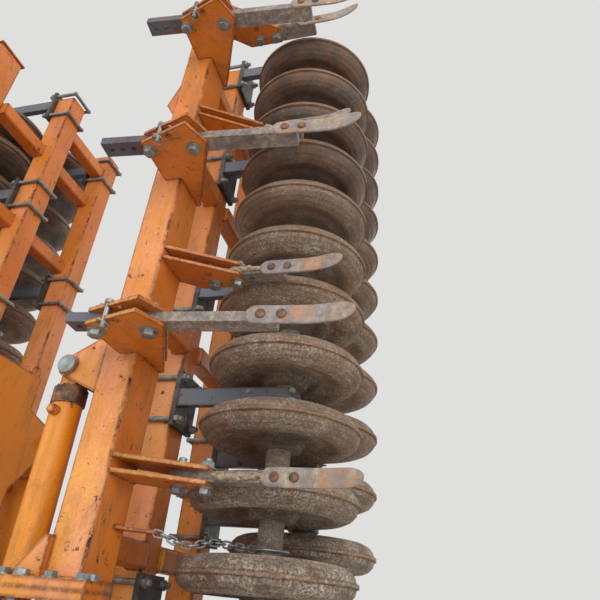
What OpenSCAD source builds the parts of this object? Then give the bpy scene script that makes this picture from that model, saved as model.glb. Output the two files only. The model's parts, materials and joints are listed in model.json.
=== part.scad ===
// Towed ring harrow that folds: two upright wings on a centre frame with an axle.
// Millimetres. X is across (the +X wing is the left one), Y runs to the rear, Z is up.
// The origin is on the floor in the middle of the machine's box.

/* [Machine] */
// Distance of a folded wing's ring axes from the machine's middle
gang_x = 1035; // [1025:5:1060]
// Distance of the fold hinges from the machine's middle
hinge_x = 415; // [405:5:425]
// Height of the fold hinges above the floor
hinge_z = 1040; // [1030:5:1080]

/* [Rings] */
// Outer radius of a ring at its lip
ring_r = 300; // [285:1:303]
// Distance from ring to ring along a gang
ring_pitch = 240; // [236:1:244]
// Rings on each gang
ring_count = 14; // [14:1:14]
// Half of a ring's thickness at its crown
ring_half = 55; // [44:1:56]
// Radius at which a ring is thickest
crown_r = 226; // [215:1:235]
// Thickness of the lip where the two shells meet
lip_t = 12; // [8:1:18]
// How far the lip stands out past the shells
lip_proud = 8; // [4:1:12]
// Radius of the hollow between crown and hub
valley_r = 160; // [145:1:175]
// Depth of that hollow below the crown
valley_depth = 24; // [12:1:30]
// Radius of a ring's hub flange
hub_r = 82; // [72:1:95]
// Half of a ring's length over its hub flanges
hub_half = 64; // [60:1:72]
// Radius of the gang's tube
tube_r = 44; // [38:1:48]
// Distance from the front gang's axis to the rear gang's
gang_gap = 450; // [440:5:480]

/* [Wing beams] */
// Width of the beams across the wing
beam_w = 120; // [100:2:122]
// Fore and aft depth of the main beam
main_d = 160; // [140:2:166]
// From the front gang's axis forward to the main beam's rear face
main_back = 374; // [370:1:380]
// From the gang axes in to the main beam's outer face
main_in = 324; // [318:1:330]
// From the gang axes in to the gang beams' outer faces
gang_beam_in = 420; // [415:1:424]
// Size of the fore and aft cross tubes
cross_w = 80; // [60:2:84]
// Radius of the beams' outer corners
corner_r = 12; // [4:1:16]
// Thickness of the bolted flanges
flange_t = 24; // [16:1:26]
// Height of the bolted joint in the main beam
flange_z = 1384; // [1375:1:1390]

/* [Tines] */
// Width of a tine bar
tine_w = 64; // [54:1:66]
// Thickness of a tine bar
tine_t = 30; // [24:1:34]
// Thickness of the plates that hold the tines
plate_t = 12; // [8:1:14]
// Rings from one tine to the next in a row
tine_step = 3; // [3:1:3]
// Rearward slope of the front tines in degrees
front_rake = 5; // [3:0.5:6]
// Width of a share
share_w = 56; // [44:1:60]
// Thickness of a share
share_t = 12; // [8:1:14]
// Radius of the tine bolts
tine_bolt_r = 12; // [9:1:13]

/* [Gang arms] */
// Height of a gang arm
arm_h = 68; // [56:1:70]
// Thickness of a gang arm
arm_t = 30; // [20:1:34]
// Thickness of the clamp plates
clamp_t = 20; // [14:1:22]
// Height of the clamp plates
clamp_h = 220; // [200:2:230]
// Radius of a clamp bolt's rod
ubolt_r = 10; // [7:1:11]

/* [Hinges] */
// Radius of the fold pins
pin_r = 25; // [20:1:28]
// Radius of the hinge knuckles
knuckle_r = 62; // [56:1:64]
// Thickness of a wing's hinge lug
lug_t = 50; // [40:2:54]
// Thickness of a frame's hinge cheek
cheek_t = 20; // [14:1:22]
// Gap between lug and cheek
side_gap = 8; // [6:0.5:10]
// Gap round a pin in its bore
fit_gap = 0.05; // [0.03:0.01:0.09]
// Gap between pieces that lie against each other
seat_gap = 0.3; // [0.2:0.1:0.4]

/* [Fold rams] */
// Radius of a fold ram's barrel
barrel_r = 47; // [42:1:49]
// Radius of a fold ram's rod
rod_r = 24; // [20:1:24]
// Height of the ram's upper pin above the fold hinge
ram_up = 964; // [950:2:980]
// Distance of that pin outward from the fold hinge
ram_out = 60; // [54:1:66]
// Distance of the rod's eye outward from the fold hinge
eye_out = 85; // [80:1:88]
// Distance of the rod's eye below the fold hinge
eye_down = 95; // [90:1:98]
// Length of the barrel from its pin to its gland
barrel_len = 720; // [680:5:740]
// Radius of the ram pins
ram_pin_r = 22; // [18:1:24]
// Width of a ram's eyes
eye_w = 50; // [44:2:54]
// Fore and aft place of the fold rams
ram_y = -483; // [-486:1:-480]

/* [Centre frame] */
// Height of the frame beams, and depth of the rear one
frame_w = 150; // [130:2:156]
// Depth of the front cross beam
front_cross_d = 190; // [186:2:196]
// Height of the frame beams' undersides
frame_z = 1060; // [1050:2:1070]
// Half of the cross beams' length
frame_half = 330; // [320:2:334]
// Width of the two rails between the cross beams
rail_w = 100; // [80:2:110]
// Clear width between the tower's plates
tower_gap = 170; // [160:2:174]
// Thickness of the tower's plates
tower_t = 15; // [10:1:16]
// Height of the tower's top
tower_top = 2097; // [2050:5:2150]

/* [Axle and lift ram] */
// Place of the axle's pivot along Y
axle_pivot_y = -300; // [-310:2:-290]
// Height of the axle's pivot
axle_pivot_z = 810; // [800:2:815]
// Width of the axle's long arm
axle_arm_w = 200; // [160:5:205]
// Height of the axle's long arm
axle_arm_h = 140; // [110:2:144]
// Place of the wheels along Y
wheel_y = 1300; // [1290:5:1400]
// Distance of a wheel's middle from the machine's middle
wheel_x = 880; // [860:5:920]
// Outer radius of a tyre
tyre_r = 460; // [440:2:465]
// Width of a tyre
tyre_w = 400; // [340:5:410]
// Radius of the wheel rim's barrel
rim_r = 232; // [210:1:245]
// Radius of the wheel spindles
spindle_r = 35; // [30:1:40]
// Radius of the lift ram's barrel
lift_barrel_r = 56; // [48:1:60]
// Radius of the lift ram's rod
lift_rod_r = 30; // [24:1:34]
// Length of the lift ram's barrel from its pin to its gland
lift_barrel_len = 690; // [660:5:720]

/* [Drawbar] */
// Distance from the front gang's axis forward to the hitch
hitch_y = 3050; // [2900:10:3200]
// Height of the hitch eye
hitch_z = 600; // [560:5:640]
// Radius of the hitch eye's bore
hitch_bore_r = 26; // [20:1:32]
// Width of the drawbar
draw_w = 180; // [150:5:190]
// Distance from the front gang's axis forward to the parking jack
jack_y = 2350; // [2250:10:2450]
// Width of the jack's square leg
leg_w = 76; // [60:2:80]
// Wall of the jack's outer tube
jack_wall = 8; // [5:1:10]
// Height of the outer tube's lower end
jack_low_z = 480; // [460:5:500]
// Height of the leg's upper end with the foot on the floor
leg_top_z = 620; // [600:5:630]
// Radius of the jack's foot
foot_r = 130; // [100:5:150]

/* [Lock chain] */
// Thickness of a link's bar
chain_wire = 6.5; // [6:0.5:6.5]
// Clear width inside a link
link_gap = 12; // [12:1:13]
// Play between a link and the next
link_play = 0.95; // [0.9:0.05:1]
// How far the chain hangs below its lug
chain_dip = 20; // [16:1:21]
// Links in the chain, an odd number
link_count = 15; // [13:2:15]
// Radius of the hook round the gang's tube
hook_r = 65; // [64:1:67]
// Thickness of the hook
hook_wire = 10; // [8:1:11]
// Radius of the hole in the chain's lug
lug_hole_r = 9.5; // [9:0.5:10]
// Thickness of the chain's lug
chain_lug_t = 8; // [7:0.5:8.5]

/* [Hidden] */
hitch_r = 68;
centre_y = (hitch_y + hitch_r - wheel_y - tyre_r) / 2;
first_z = hinge_z - hinge_x + ring_pitch / 2;
far_z = first_z + ring_pitch / 2;
last_z = first_z + (ring_count - 1) * ring_pitch;
shell_r = ring_r - lip_proud;
main_x1 = gang_x - main_in;
main_x0 = main_x1 - beam_w;
main_y1 = -main_back;
main_y0 = main_y1 - main_d;
gbeam_x1 = gang_x - gang_beam_in;
gbeam_x0 = gbeam_x1 - beam_w;
wing_base_z = hinge_z - 140;
main_top_z = last_z + 75;
front_beam_z0 = first_z + 25;
front_beam_z1 = last_z + 185;
rear_beam_z0 = hinge_z - 100;
rear_beam_z1 = last_z + 130;
cross_x0 = gbeam_x1 - cross_w + 20;
cross_z = [hinge_z, for (rings = [3.18, 6.48, 9.73, 11.9]) first_z + ring_pitch * rings];
top_cross_z = last_z - 25;
// Gaps between rings, counted up from the lowest ring, in which a gang arm sits
front_arm_gaps = [0, 2, 5, 7, 10, 13];
rear_arm_gaps = [1, 3, 4, 8, 12];
function gap_z(z0, g) = z0 + ring_pitch * (g + 0.5);
// Height and inner end of each front tine: rings up from the first, and x from the gang
F_RINGS = 0;
F_DROP = 1;
F_INNER = 2;
front_tines_table = [[2.5, 55, -550], [5.5, 0, -458], [8.5, 0, -552], [11.5, 0, -545]];
function front_tine_z(t) = first_z + ring_pitch * t[F_RINGS] - t[F_DROP];
// Height and tip of each rear tine
R_RINGS = 0;
R_TIP = 1;
rear_tines_table = [[1, 371], [4, 371], [7, 285], [10, 292], [13, 304]];
function rear_tine_z(t) = first_z + ring_pitch * t[R_RINGS];
front_tip = 378;
front_tine_y = -703;
front_tine_x = -550;
rear_tine_y = -348;
share_len = 300;
share_curl = 34;
hinge_front_y = main_y1 - lug_t / 2;
hinge_rear_y = gang_gap;
cheek_off = lug_t / 2 + side_gap;
ram_pin_x = hinge_x + ram_out;
ram_pin_z = hinge_z + ram_up;
eye_x = hinge_x + eye_out;
eye_z = hinge_z - eye_down;
ram_len = sqrt(pow(eye_out - ram_out, 2) + pow(ram_up + eye_down, 2));
ram_lean = atan2(eye_out - ram_out, ram_up + eye_down);
eye_r = 38;
ear_gap = 6;
ear_t = 12;
frame_top = frame_z + frame_w;
cross_front_y = hinge_front_y - 38;
cross_rear_y = hinge_rear_y;
tower_x = tower_gap / 2;
lift_pin_y = -72;
lift_pin_z = 1882;
lift_eye_y = 219;
lift_eye_z = 940;
lift_len = sqrt(pow(lift_eye_y - lift_pin_y, 2) + pow(lift_pin_z - lift_eye_z, 2));
lift_lean = atan2(lift_eye_y - lift_pin_y, lift_pin_z - lift_eye_z);
wheel_z = tyre_r;
jack_x = draw_w / 2 + 70;
jack_top_z = leg_top_z + 390;
chain_z = first_z + ring_pitch * 3.35;
chain_from = [main_x1 + 74, -352];
chain_to = [gang_x - hook_r * 0.62, -hook_r * 0.79];
link_slack = 2 * seat_back(chain_wire / 2) + link_play;
// Where the chain starts past the middle of its lug's hole, and how far it ends past the hook's bar
chain_start = sqrt(pow(lug_hole_r, 2) - pow(chain_wire / 2, 2)) - seat_back(chain_lug_t / 2)
    - 2 * seat_gap + link_slack / 2;
chain_past = hook_wire / 2 + seat_back(hook_wire / 2) + 3 * seat_gap - link_slack / 2;
orange = [0.86, 0.38, 0.08];
yellow = [0.87, 0.55, 0.10];
rust = [0.36, 0.30, 0.25];
steel = [0.62, 0.64, 0.66];
blue_grey = [0.38, 0.42, 0.50];
black = [0.07, 0.07, 0.07];

// Everything below is written round the front gang's axis at Y 0 and moved by this.
module placed() {
    translate([0, centre_y, 0]) children();
}

// The +X wing as it is, or its mirror image for the -X wing.
module side(s) {
    placed() mirror([s < 0 ? 1 : 0, 0, 0]) children();
}

// A box from its low and high corners.
module block(x0, x1, y0, y1, z0, z1) {
    translate([x0, y0, z0]) cube([x1 - x0, y1 - y0, z1 - z0]);
}

// A profile drawn in X and Z, from y0 to y1.
module across_y(y0, y1) {
    translate([0, y1, 0]) rotate([90, 0, 0]) linear_extrude(y1 - y0) children();
}

// A profile drawn in Y and Z, from x0 to x1.
module across_x(x0, x1) {
    translate([x0, 0, 0]) rotate([90, 0, 90]) linear_extrude(x1 - x0) children();
}

// A rectangle with round corners, drawn in the first two directions given.
module round_rect(a0, a1, b0, b1) {
    r = corner_r;
    translate([a0 + r, b0]) square([a1 - a0 - 2 * r, b1 - b0]);
    translate([a0, b0 + r]) square([a1 - a0, b1 - b0 - 2 * r]);
    for (a = [a0 + r, a1 - r], b = [b0 + r, b1 - r])
        translate([a, b]) circle(r = r, $fn = 32);
}

// Box sections that run along Z, Y and X.
module post(x0, x1, y0, y1, z0, z1) {
    translate([0, 0, z0]) linear_extrude(z1 - z0) round_rect(x0, x1, y0, y1);
}

module beam_y(x0, x1, y0, y1, z0, z1) {
    across_y(y0, y1) round_rect(x0, x1, z0, z1);
}

module beam_x(x0, x1, y0, y1, z0, z1) {
    across_x(x0, x1) round_rect(y0, y1, z0, z1);
}

// A round bar along Y from y0 to y1.
module bar_y(x, z, y0, y1, r) {
    translate([x, y1, z]) rotate([90, 0, 0]) cylinder(r = r, h = y1 - y0, $fn = 48);
}

// A round bar along X from x0 to x1.
module bar_x(y, z, x0, x1, r) {
    translate([x0, y, z]) rotate([0, 90, 0]) cylinder(r = r, h = x1 - x0, $fn = 48);
}

// Rings and gang tubes

// Half of a ring's outline from the lip in to the hub: a round shoulder, then a hollow.
function ring_edge() = concat(
    [[ring_r, 0], [ring_r, lip_t / 2], [shell_r, lip_t / 2 + 2]],
    [for (i = [1:4]) let (a = 22.5 * i)
        [crown_r + (shell_r - crown_r) * cos(a), lip_t / 2 + 2 + (ring_half - lip_t / 2 - 2) * sin(a)]],
    [for (i = [1:4]) let (u = i / 4)
        [crown_r - (crown_r - valley_r) * u, ring_half - valley_depth * (1 - cos(180 * u)) / 2]],
    [[hub_r + 16, ring_half - valley_depth + 4], [hub_r, hub_half - 12],
     [hub_r, hub_half - 4], [hub_r - 5, hub_half], [tube_r + fit_gap, hub_half],
     [tube_r + fit_gap, 0]]
);

module ring() {
    rotate_extrude($fn = 72) polygon(ring_edge());
    mirror([0, 0, 1]) rotate_extrude($fn = 72) polygon(ring_edge());
}

module gang_rings(s, y, z0) {
    side(s) color(rust)
        for (i = [0:ring_count - 1])
            translate([gang_x, y, z0 + ring_pitch * i]) ring();
}

// One long tube with a nut and washer at each end.
module gang_tube(s, y, z0) {
    low = z0 - hub_half;
    high = z0 + ring_pitch * (ring_count - 1) + hub_half;
    side(s) color(rust) translate([gang_x, y, 0]) {
        translate([0, 0, low]) cylinder(r = tube_r, h = high - low + 75, $fn = 64);
        translate([0, 0, low - 14]) cylinder(r = hub_r - 10, h = 14, $fn = 64);
        translate([0, 0, low - 44]) cylinder(r = tube_r, h = 30, $fn = 6);
        translate([0, 0, high + 75]) cylinder(r = tube_r, h = 30, $fn = 6);
    }
}

// Wing beams

// Bolted flange, with a notch on its inner side that the fold ram passes through.
module flange(z) {
    notch_y = ram_y - barrel_r - 12;
    translate([0, 0, z]) linear_extrude(flange_t) polygon([
        [main_x0 - 105, main_y0 - 66], [main_x1 + 62, main_y0 - 66],
        [main_x1 + 62, main_y0 + 20], [main_x1 + 4, main_y1], [main_x0, main_y1],
        [main_x0, notch_y], [main_x0 - 105, notch_y]
    ]);
}

module main_beam(s) {
    ear_y = eye_w / 2 + ear_gap;
    side(s) color(orange) {
        post(main_x0, main_x1, main_y0, main_y1, flange_z, main_top_z);
        flange(flange_z);
        chain_lug();
        // Gussets on the flange
        across_y(main_y0 - 22, main_y0 - 10) polygon([
            [main_x0, flange_z + flange_t], [main_x0 - 80, flange_z + flange_t],
            [main_x0, flange_z + 125]
        ]);
        block(main_x0, main_x0 + 14, main_y0 - 22, main_y0, flange_z + flange_t, flange_z + 125);
        // Lock fin on the inner face
        across_y(main_y1 - 70, main_y1 - 56) polygon([
            [main_x0, first_z + ring_pitch * 12.06], [main_x0 - 104, first_z + ring_pitch * 10.71],
            [main_x0 - 60, first_z + ring_pitch * 10.42], [main_x0, first_z + ring_pitch * 10.38]
        ]);
        ram_ears(ear_y);
        // End cap
        block(main_x0 - 8, main_x1 + 8, main_y0 - 8, main_y1 + 8, main_top_z, main_top_z + 10);
        // Pin of the fold ram
        bar_y(ram_pin_x, ram_pin_z, ram_y - ear_y - ear_t - 10, ram_y + ear_y + ear_t + 10, ram_pin_r);
        bar_y(ram_pin_x, ram_pin_z, ram_y - ear_y - ear_t - 18, ram_y - ear_y - ear_t, ram_pin_r + 8);
    }
}

// Two ears on the main beam that hold the fold ram's upper pin.
module ram_ears(ear_y) {
    for (e = [-1, 1])
        translate([0, ram_y + e * (ear_y + ear_t / 2), 0]) across_y(-ear_t / 2, ear_t / 2) {
            polygon([
                [main_x0, ram_pin_z + 110], [main_x0 + corner_r, ram_pin_z + 110],
                [main_x0 + corner_r, ram_pin_z - 90], [main_x0, ram_pin_z - 90],
                [ram_pin_x, ram_pin_z - eye_r], [ram_pin_x, ram_pin_z + eye_r]
            ]);
            translate([ram_pin_x, ram_pin_z]) circle(r = eye_r, $fn = 48);
        }
}

// Lug of the fold hinge, from the beam face at x_face to the pin.
module hinge_lug(y, x_face, z0, z1) {
    difference() {
        across_y(y - lug_t / 2, y + lug_t / 2) {
            translate([hinge_x, hinge_z]) circle(r = knuckle_r, $fn = 64);
            polygon([
                [hinge_x, hinge_z - knuckle_r], [x_face, z0], [x_face + corner_r, z0],
                [x_face + corner_r, z1], [x_face, z1],
                [hinge_x, hinge_z + knuckle_r]
            ]);
        }
        bar_y(hinge_x, hinge_z, y - lug_t, y + lug_t, pin_r + fit_gap);
    }
}

// Foot of the main beam, the two gang beams, the cross tubes and the hinge lugs.
module wing_frame(s) {
    side(s) color(orange) {
        post(main_x0, main_x1, main_y0, main_y1, wing_base_z, flange_z - flange_t);
        flange(flange_z - flange_t);
        post(gbeam_x0, gbeam_x1, -beam_w / 2, beam_w / 2, front_beam_z0, front_beam_z1);
        post(gbeam_x0, gbeam_x1, gang_gap - beam_w / 2, gang_gap + beam_w / 2, rear_beam_z0, rear_beam_z1);
        for (z = cross_z) {
            // One with the post below the flange, and on the main beam's face above it
            start = z < flange_z ? main_y1 - corner_r : main_y1;
            beam_y(cross_x0, cross_x0 + cross_w, start, -beam_w / 2, z - cross_w / 2, z + cross_w / 2);
            beam_y(cross_x0, cross_x0 + cross_w, beam_w / 2, gang_gap - beam_w / 2, z - cross_w / 2, z + cross_w / 2);
        }
        beam_y(gbeam_x0 + corner_r, gbeam_x0 + corner_r + cross_w, beam_w / 2, gang_gap - beam_w / 2,
            top_cross_z - cross_w / 2, top_cross_z + cross_w / 2);
        hinge_lug(hinge_front_y, main_x0, hinge_z - 110, hinge_z + 130);
        hinge_lug(hinge_rear_y, gbeam_x0, hinge_z - 70, hinge_z + 70);
    }
}

// Tines, in a frame whose X runs to the tip and whose Y 0 is the bar's middle

module tine_bar(x0, x1, z) {
    difference() {
        translate([x0, -tine_w / 2, z - tine_t / 2]) cube([x1 - x0, tine_w, tine_t]);
        for (i = [0:3])
            translate([x0 + 30 + 42 * i, 0, z - tine_t]) cylinder(r = 9, h = 2 * tine_t, $fn = 32);
    }
}

// Outline of a share seen from its edge: flat on the bar, then curling forward to its tip.
function curl_line(x1, off) = [for (i = [0:5]) let (u = i / 5)
    [x1 - share_len * 0.5 * (1 - u), off - share_curl * u * u]];

module share(x1, z) {
    x0 = x1 - share_len;
    y = -tine_w / 2;
    front = curl_line(x1, y - share_t);
    back = curl_line(x1, y);
    intersection() {
        translate([0, 0, z - share_w / 2]) linear_extrude(share_w)
            polygon(concat([[x0, y - share_t]], front, [for (i = [5:-1:0]) back[i]], [[x0, y]]));
        translate([0, y + 5, z]) rotate([90, 0, 0]) linear_extrude(share_t + share_curl + 20) {
            translate([x0 + share_w / 2, 0]) circle(r = share_w / 2, $fn = 48);
            translate([x0 + share_w / 2, -share_w / 2]) square([share_len - share_w - 24, share_w]);
            polygon([[x1 - 82, -share_w / 2], [x1 - 82, share_w / 2], [x1, share_w / 5], [x1, -share_w / 5]]);
        }
    }
    for (x = [x0 + 42, x0 + 100])
        translate([x, y - share_t - 8, z]) rotate([-90, 0, 0]) cylinder(r = 13, h = 10, $fn = 32);
}

// Places children at a front tine's line, or at a rear tine's.
module at_front_tine() {
    translate([gang_x + front_tine_x, front_tine_y, 0]) rotate([0, 0, front_rake])
        translate([-front_tine_x, 0, 0]) children();
}

module at_rear_tine() {
    translate([gang_x, rear_tine_y, 0]) children();
}

module front_tines(s) {
    side(s) color(blue_grey) at_front_tine()
        for (t = front_tines_table) tine_bar(t[F_INNER], front_tip - share_len + 80, front_tine_z(t));
}

module rear_tines(s) {
    side(s) color(blue_grey) at_rear_tine()
        for (t = rear_tines_table) tine_bar(-215, t[R_TIP] - share_len + 80, rear_tine_z(t));
}

module shares(s) {
    side(s) color(rust) {
        at_front_tine() for (t = front_tines_table) share(front_tip, front_tine_z(t));
        at_rear_tine() for (t = rear_tines_table) share(t[R_TIP], rear_tine_z(t));
    }
}

// Outline of a plate that wraps the main beam's front outer corner.
module front_plate_outline() {
    polygon([
        [main_x0 + 55, main_y0], [main_x0 + 55, main_y0 - 191], [main_x1 + 125, main_y0 - 248],
        [main_x1 + 167, main_y0 - 152], [main_x1 + 14, main_y1], [main_x1, main_y1],
        [main_x1, main_y0]
    ]);
}

// Outline of a plate on the main beam's outer face.
module rear_plate_outline() {
    polygon([
        [main_x1, main_y0], [gang_x - 90, main_y0 + 138], [gang_x - 90, rear_tine_y + 30],
        [gang_x - 250, rear_tine_y + 30], [main_x1, main_y1]
    ]);
}

module tine_plates(s) {
    side(s) color(orange) {
        for (t = front_tines_table) {
            plate_pair(front_tine_z(t)) difference() {
                front_plate_outline();
                for (x = [main_x1 + 8, main_x1 + 44])
                    translate([x, main_y0 - 205]) circle(r = 9, $fn = 32);
            }
            tine_bolt(gang_x - 372, front_tine_y + 16, front_tine_z(t));
            tine_bolt(gang_x - 212, front_tine_y + 30, front_tine_z(t));
        }
        for (t = rear_tines_table) {
            plate_pair(rear_tine_z(t)) difference() {
                rear_plate_outline();
                translate([gang_x - 200, rear_tine_y - 62]) circle(r = 9, $fn = 32);
            }
            tine_bolt(gang_x - 112, rear_tine_y, rear_tine_z(t));
            tine_bolt(gang_x - 196, rear_tine_y, rear_tine_z(t));
        }
    }
}

module plate_pair(z) {
    for (e = [-1, 1])
        translate([0, 0, z + e * (tine_t / 2 + plate_t / 2) - plate_t / 2])
            linear_extrude(plate_t) children();
}

// Bolt down through both plates and the bar, with its head and nut.
module tine_bolt(x, y, z) {
    half = tine_t / 2 + plate_t;
    for (e = [-1, 1])
        translate([x, y, z + e * (half + 7) - 7]) cylinder(r = tine_bolt_r * 1.6, h = 14, $fn = 6);
}

// Gang arms

// An arm from its clamp to the gang's tube, with a bearing on the tube.
module gang_arm(y, z) {
    arm_y1 = y - tube_r - 6;
    translate([0, 0, z - arm_h / 2]) {
        linear_extrude(arm_h) polygon([
            [gbeam_x1 + clamp_t, arm_y1 - arm_t], [gang_x + 30, arm_y1 - arm_t],
            [gang_x + 48, arm_y1 - arm_t + 12], [gang_x + 48, arm_y1], [gbeam_x1 + clamp_t, arm_y1]
        ]);
        difference() {
            union() {
                translate([gang_x, y, 0]) cylinder(r = tube_r + 20, h = arm_h, $fn = 64);
                translate([gang_x - 40, arm_y1 - 4, 0]) cube([80, 24, arm_h]);
            }
            translate([gang_x, y, -1]) cylinder(r = tube_r + fit_gap, h = arm_h + 2, $fn = 64);
        }
    }
}

module gang_arms(s) {
    side(s) color(blue_grey) {
        for (g = front_arm_gaps) gang_arm(0, gap_z(first_z, g));
        for (g = rear_arm_gaps) gang_arm(gang_gap, gap_z(far_z, g));
    }
}

// Clamp plate on the beam's outer face, held by two rods bent round the beam.
module clamp(y, z) {
    rod_off = beam_w / 2 + seat_gap + ubolt_r;
    translate([gbeam_x1, y - beam_w / 2 - 24, z - clamp_h / 2]) cube([clamp_t, beam_w + 48, clamp_h]);
    for (e = [-1, 1]) translate([0, 0, z + e * (clamp_h / 2 - 26)]) {
        for (f = [-1, 1])
            bar_x(y + f * rod_off, 0, gbeam_x0 - seat_gap - ubolt_r * 2, gbeam_x1 + clamp_t + 30, ubolt_r);
        bar_y(gbeam_x0 - seat_gap - ubolt_r, 0, y - rod_off - ubolt_r, y + rod_off + ubolt_r, ubolt_r);
        for (f = [-1, 1])
            translate([gbeam_x1 + clamp_t, y + f * rod_off, 0]) rotate([0, 90, 0])
                cylinder(r = ubolt_r * 1.7, h = 16, $fn = 6);
    }
}

module clamps(s) {
    side(s) color(steel) {
        for (g = front_arm_gaps) clamp(0, gap_z(first_z, g));
        for (g = rear_arm_gaps) clamp(gang_gap, gap_z(far_z, g));
    }
}

// Fold rams, drawn hanging straight down from the upper pin and then leaned

module at_ram() {
    translate([ram_pin_x, ram_y, ram_pin_z]) rotate([0, -ram_lean, 0]) children();
}

module fold_barrel(s) {
    side(s) color(yellow) at_ram() difference() {
        union() {
            bar_y(0, 0, -eye_w / 2, eye_w / 2, eye_r);
            block(-30, 30, -eye_w / 2, eye_w / 2, -66, 0);
            translate([0, 0, -barrel_len + 40]) cylinder(r = barrel_r, h = barrel_len - 100, $fn = 64);
            translate([0, 0, -118]) cylinder(r = barrel_r + 5, h = 50, $fn = 64);
            translate([0, 0, -barrel_len]) cylinder(r = barrel_r + 3, h = 60, $fn = 64);
        }
        bar_y(0, 0, -eye_w, eye_w, ram_pin_r + fit_gap);
        translate([0, 0, -barrel_len - 1]) cylinder(r = rod_r + fit_gap, h = barrel_len - 150, $fn = 48);
    }
}

module fold_rod(s) {
    side(s) color(steel) at_ram() {
        translate([0, 0, -ram_len + eye_r - 8]) cylinder(r = rod_r, h = ram_len - eye_r - 410, $fn = 48);
        bar_y(0, -ram_len, -eye_w / 2, eye_w / 2, eye_r);
    }
}

// Centre frame

module cheek_outline() {
    translate([hinge_x, hinge_z]) circle(r = knuckle_r, $fn = 64);
    polygon([
        [frame_half, frame_z], [hinge_x, hinge_z - knuckle_r], [hinge_x + 30, hinge_z],
        [hinge_x, hinge_z + knuckle_r], [frame_half + 30, frame_top], [frame_half, frame_top]
    ]);
}

// The same with an ear for the fold ram's lower end.
module ear_outline() {
    cheek_outline();
    translate([eye_x, eye_z]) circle(r = eye_r + 2, $fn = 48);
    polygon([
        [frame_half, frame_z], [eye_x - 28, eye_z - 28], [eye_x, eye_z], [eye_x + 28, eye_z + 28],
        [hinge_x + 30, hinge_z + 40], [hinge_x, hinge_z]
    ]);
}

module cheek(y, ear) {
    difference() {
        across_y(y - cheek_t / 2, y + cheek_t / 2) {
            if (ear) ear_outline();
            else cheek_outline();
        }
        bar_y(hinge_x, hinge_z, y - cheek_t, y + cheek_t, pin_r + fit_gap);
    }
}

module centre_frame() {
    ear_front_y = ram_y - eye_w / 2 - ear_gap - ear_t;
    placed() color(orange) {
        beam_x(-frame_half, frame_half, cross_front_y - front_cross_d / 2, cross_front_y + front_cross_d / 2,
            frame_z, frame_top);
        beam_x(-frame_half, frame_half, cross_rear_y - frame_w / 2, cross_rear_y + frame_w / 2,
            frame_z, frame_top);
        for (s = [0, 1]) mirror([s, 0, 0]) {
            beam_y(tower_x + tower_t, tower_x + tower_t + rail_w, cross_front_y + front_cross_d / 2,
                cross_rear_y - frame_w / 2, frame_z, frame_top);
            cheek(hinge_front_y - cheek_off - cheek_t / 2, true);
            cheek(hinge_front_y + cheek_off + cheek_t / 2, false);
            cheek(hinge_rear_y - cheek_off - cheek_t / 2, false);
            cheek(hinge_rear_y + cheek_off + cheek_t / 2, false);
            across_y(ear_front_y, ear_front_y + ear_t) ear_outline();
            // Hanger plate of the axle's pivot
            difference() {
                across_x(axle_arm_w / 2 + side_gap, axle_arm_w / 2 + side_gap + cheek_t) {
                    translate([axle_pivot_y, axle_pivot_z]) circle(r = 60, $fn = 64);
                    polygon([
                        [cross_front_y - 60, frame_z], [axle_pivot_y - 60, axle_pivot_z],
                        [axle_pivot_y + 60, axle_pivot_z], [axle_pivot_y + 120, frame_z]
                    ]);
                }
                bar_x(axle_pivot_y, axle_pivot_z, 0, axle_arm_w, pin_r + 10 + fit_gap);
            }
        }
    }
}

// Outline of a tower plate, with the lug that holds the lift ram's pin.
module tower_outline() {
    translate([lift_pin_y, lift_pin_z]) circle(r = 52, $fn = 64);
    polygon([
        [cross_front_y - front_cross_d / 2, frame_top], [cross_front_y - front_cross_d / 2 + 20, frame_top + 160],
        [lift_pin_y - 400, tower_top], [lift_pin_y - 136, tower_top],
        [lift_pin_y - 136, lift_pin_z + 90], [lift_pin_y, lift_pin_z + 52],
        [lift_pin_y, lift_pin_z - 52], [lift_pin_y - 120, lift_pin_z - 200],
        [cross_front_y + front_cross_d / 2 + 150, frame_top - 30], [cross_front_y + front_cross_d / 2 + 150, frame_z],
        [cross_front_y + front_cross_d / 2, frame_z], [cross_front_y + front_cross_d / 2, frame_top]
    ]);
}

module tower() {
    placed() color(yellow) {
        for (s = [0, 1]) mirror([s, 0, 0]) {
            difference() {
                across_x(tower_x, tower_x + tower_t) tower_outline();
                bar_x(lift_pin_y, lift_pin_z, 0, 2 * tower_gap, pin_r + fit_gap);
            }
            // Lifting eye on the rear top corner
            translate([tower_x + tower_t / 2, lift_pin_y - 170, tower_top + 18]) rotate([90, 0, 90])
                rotate_extrude($fn = 48) translate([22, 0]) circle(r = 8, $fn = 24);
        }
        // Plates that join the two sides
        block(-tower_x, tower_x, lift_pin_y - 380, lift_pin_y - 160, tower_top - 12, tower_top);
        block(-tower_x, tower_x, cross_front_y - 40, cross_front_y - 20, frame_top, frame_top + 420);
        bar_x(lift_pin_y, lift_pin_z, -tower_x - tower_t - 16, tower_x + tower_t + 16, pin_r);
    }
}

module hinge_pins() {
    placed() color(steel) {
        for (s = [0, 1]) mirror([s, 0, 0])
            for (y = [hinge_front_y, hinge_rear_y]) {
                reach = cheek_off + cheek_t;
                bar_y(hinge_x, hinge_z, y - reach - 4, y + reach + 16, pin_r);
                bar_y(hinge_x, hinge_z, y + reach + 2, y + reach + 12, pin_r + 10);
            }
        bar_x(axle_pivot_y, axle_pivot_z, -axle_arm_w / 2 - side_gap - cheek_t - 12,
            axle_arm_w / 2 + side_gap + cheek_t + 12, pin_r + 10);
    }
}

// Lift ram, drawn hanging straight down from its upper pin and then leaned to the rear
module at_lift() {
    placed() translate([0, lift_pin_y, lift_pin_z]) rotate([lift_lean, 0, 0]) children();
}

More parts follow.
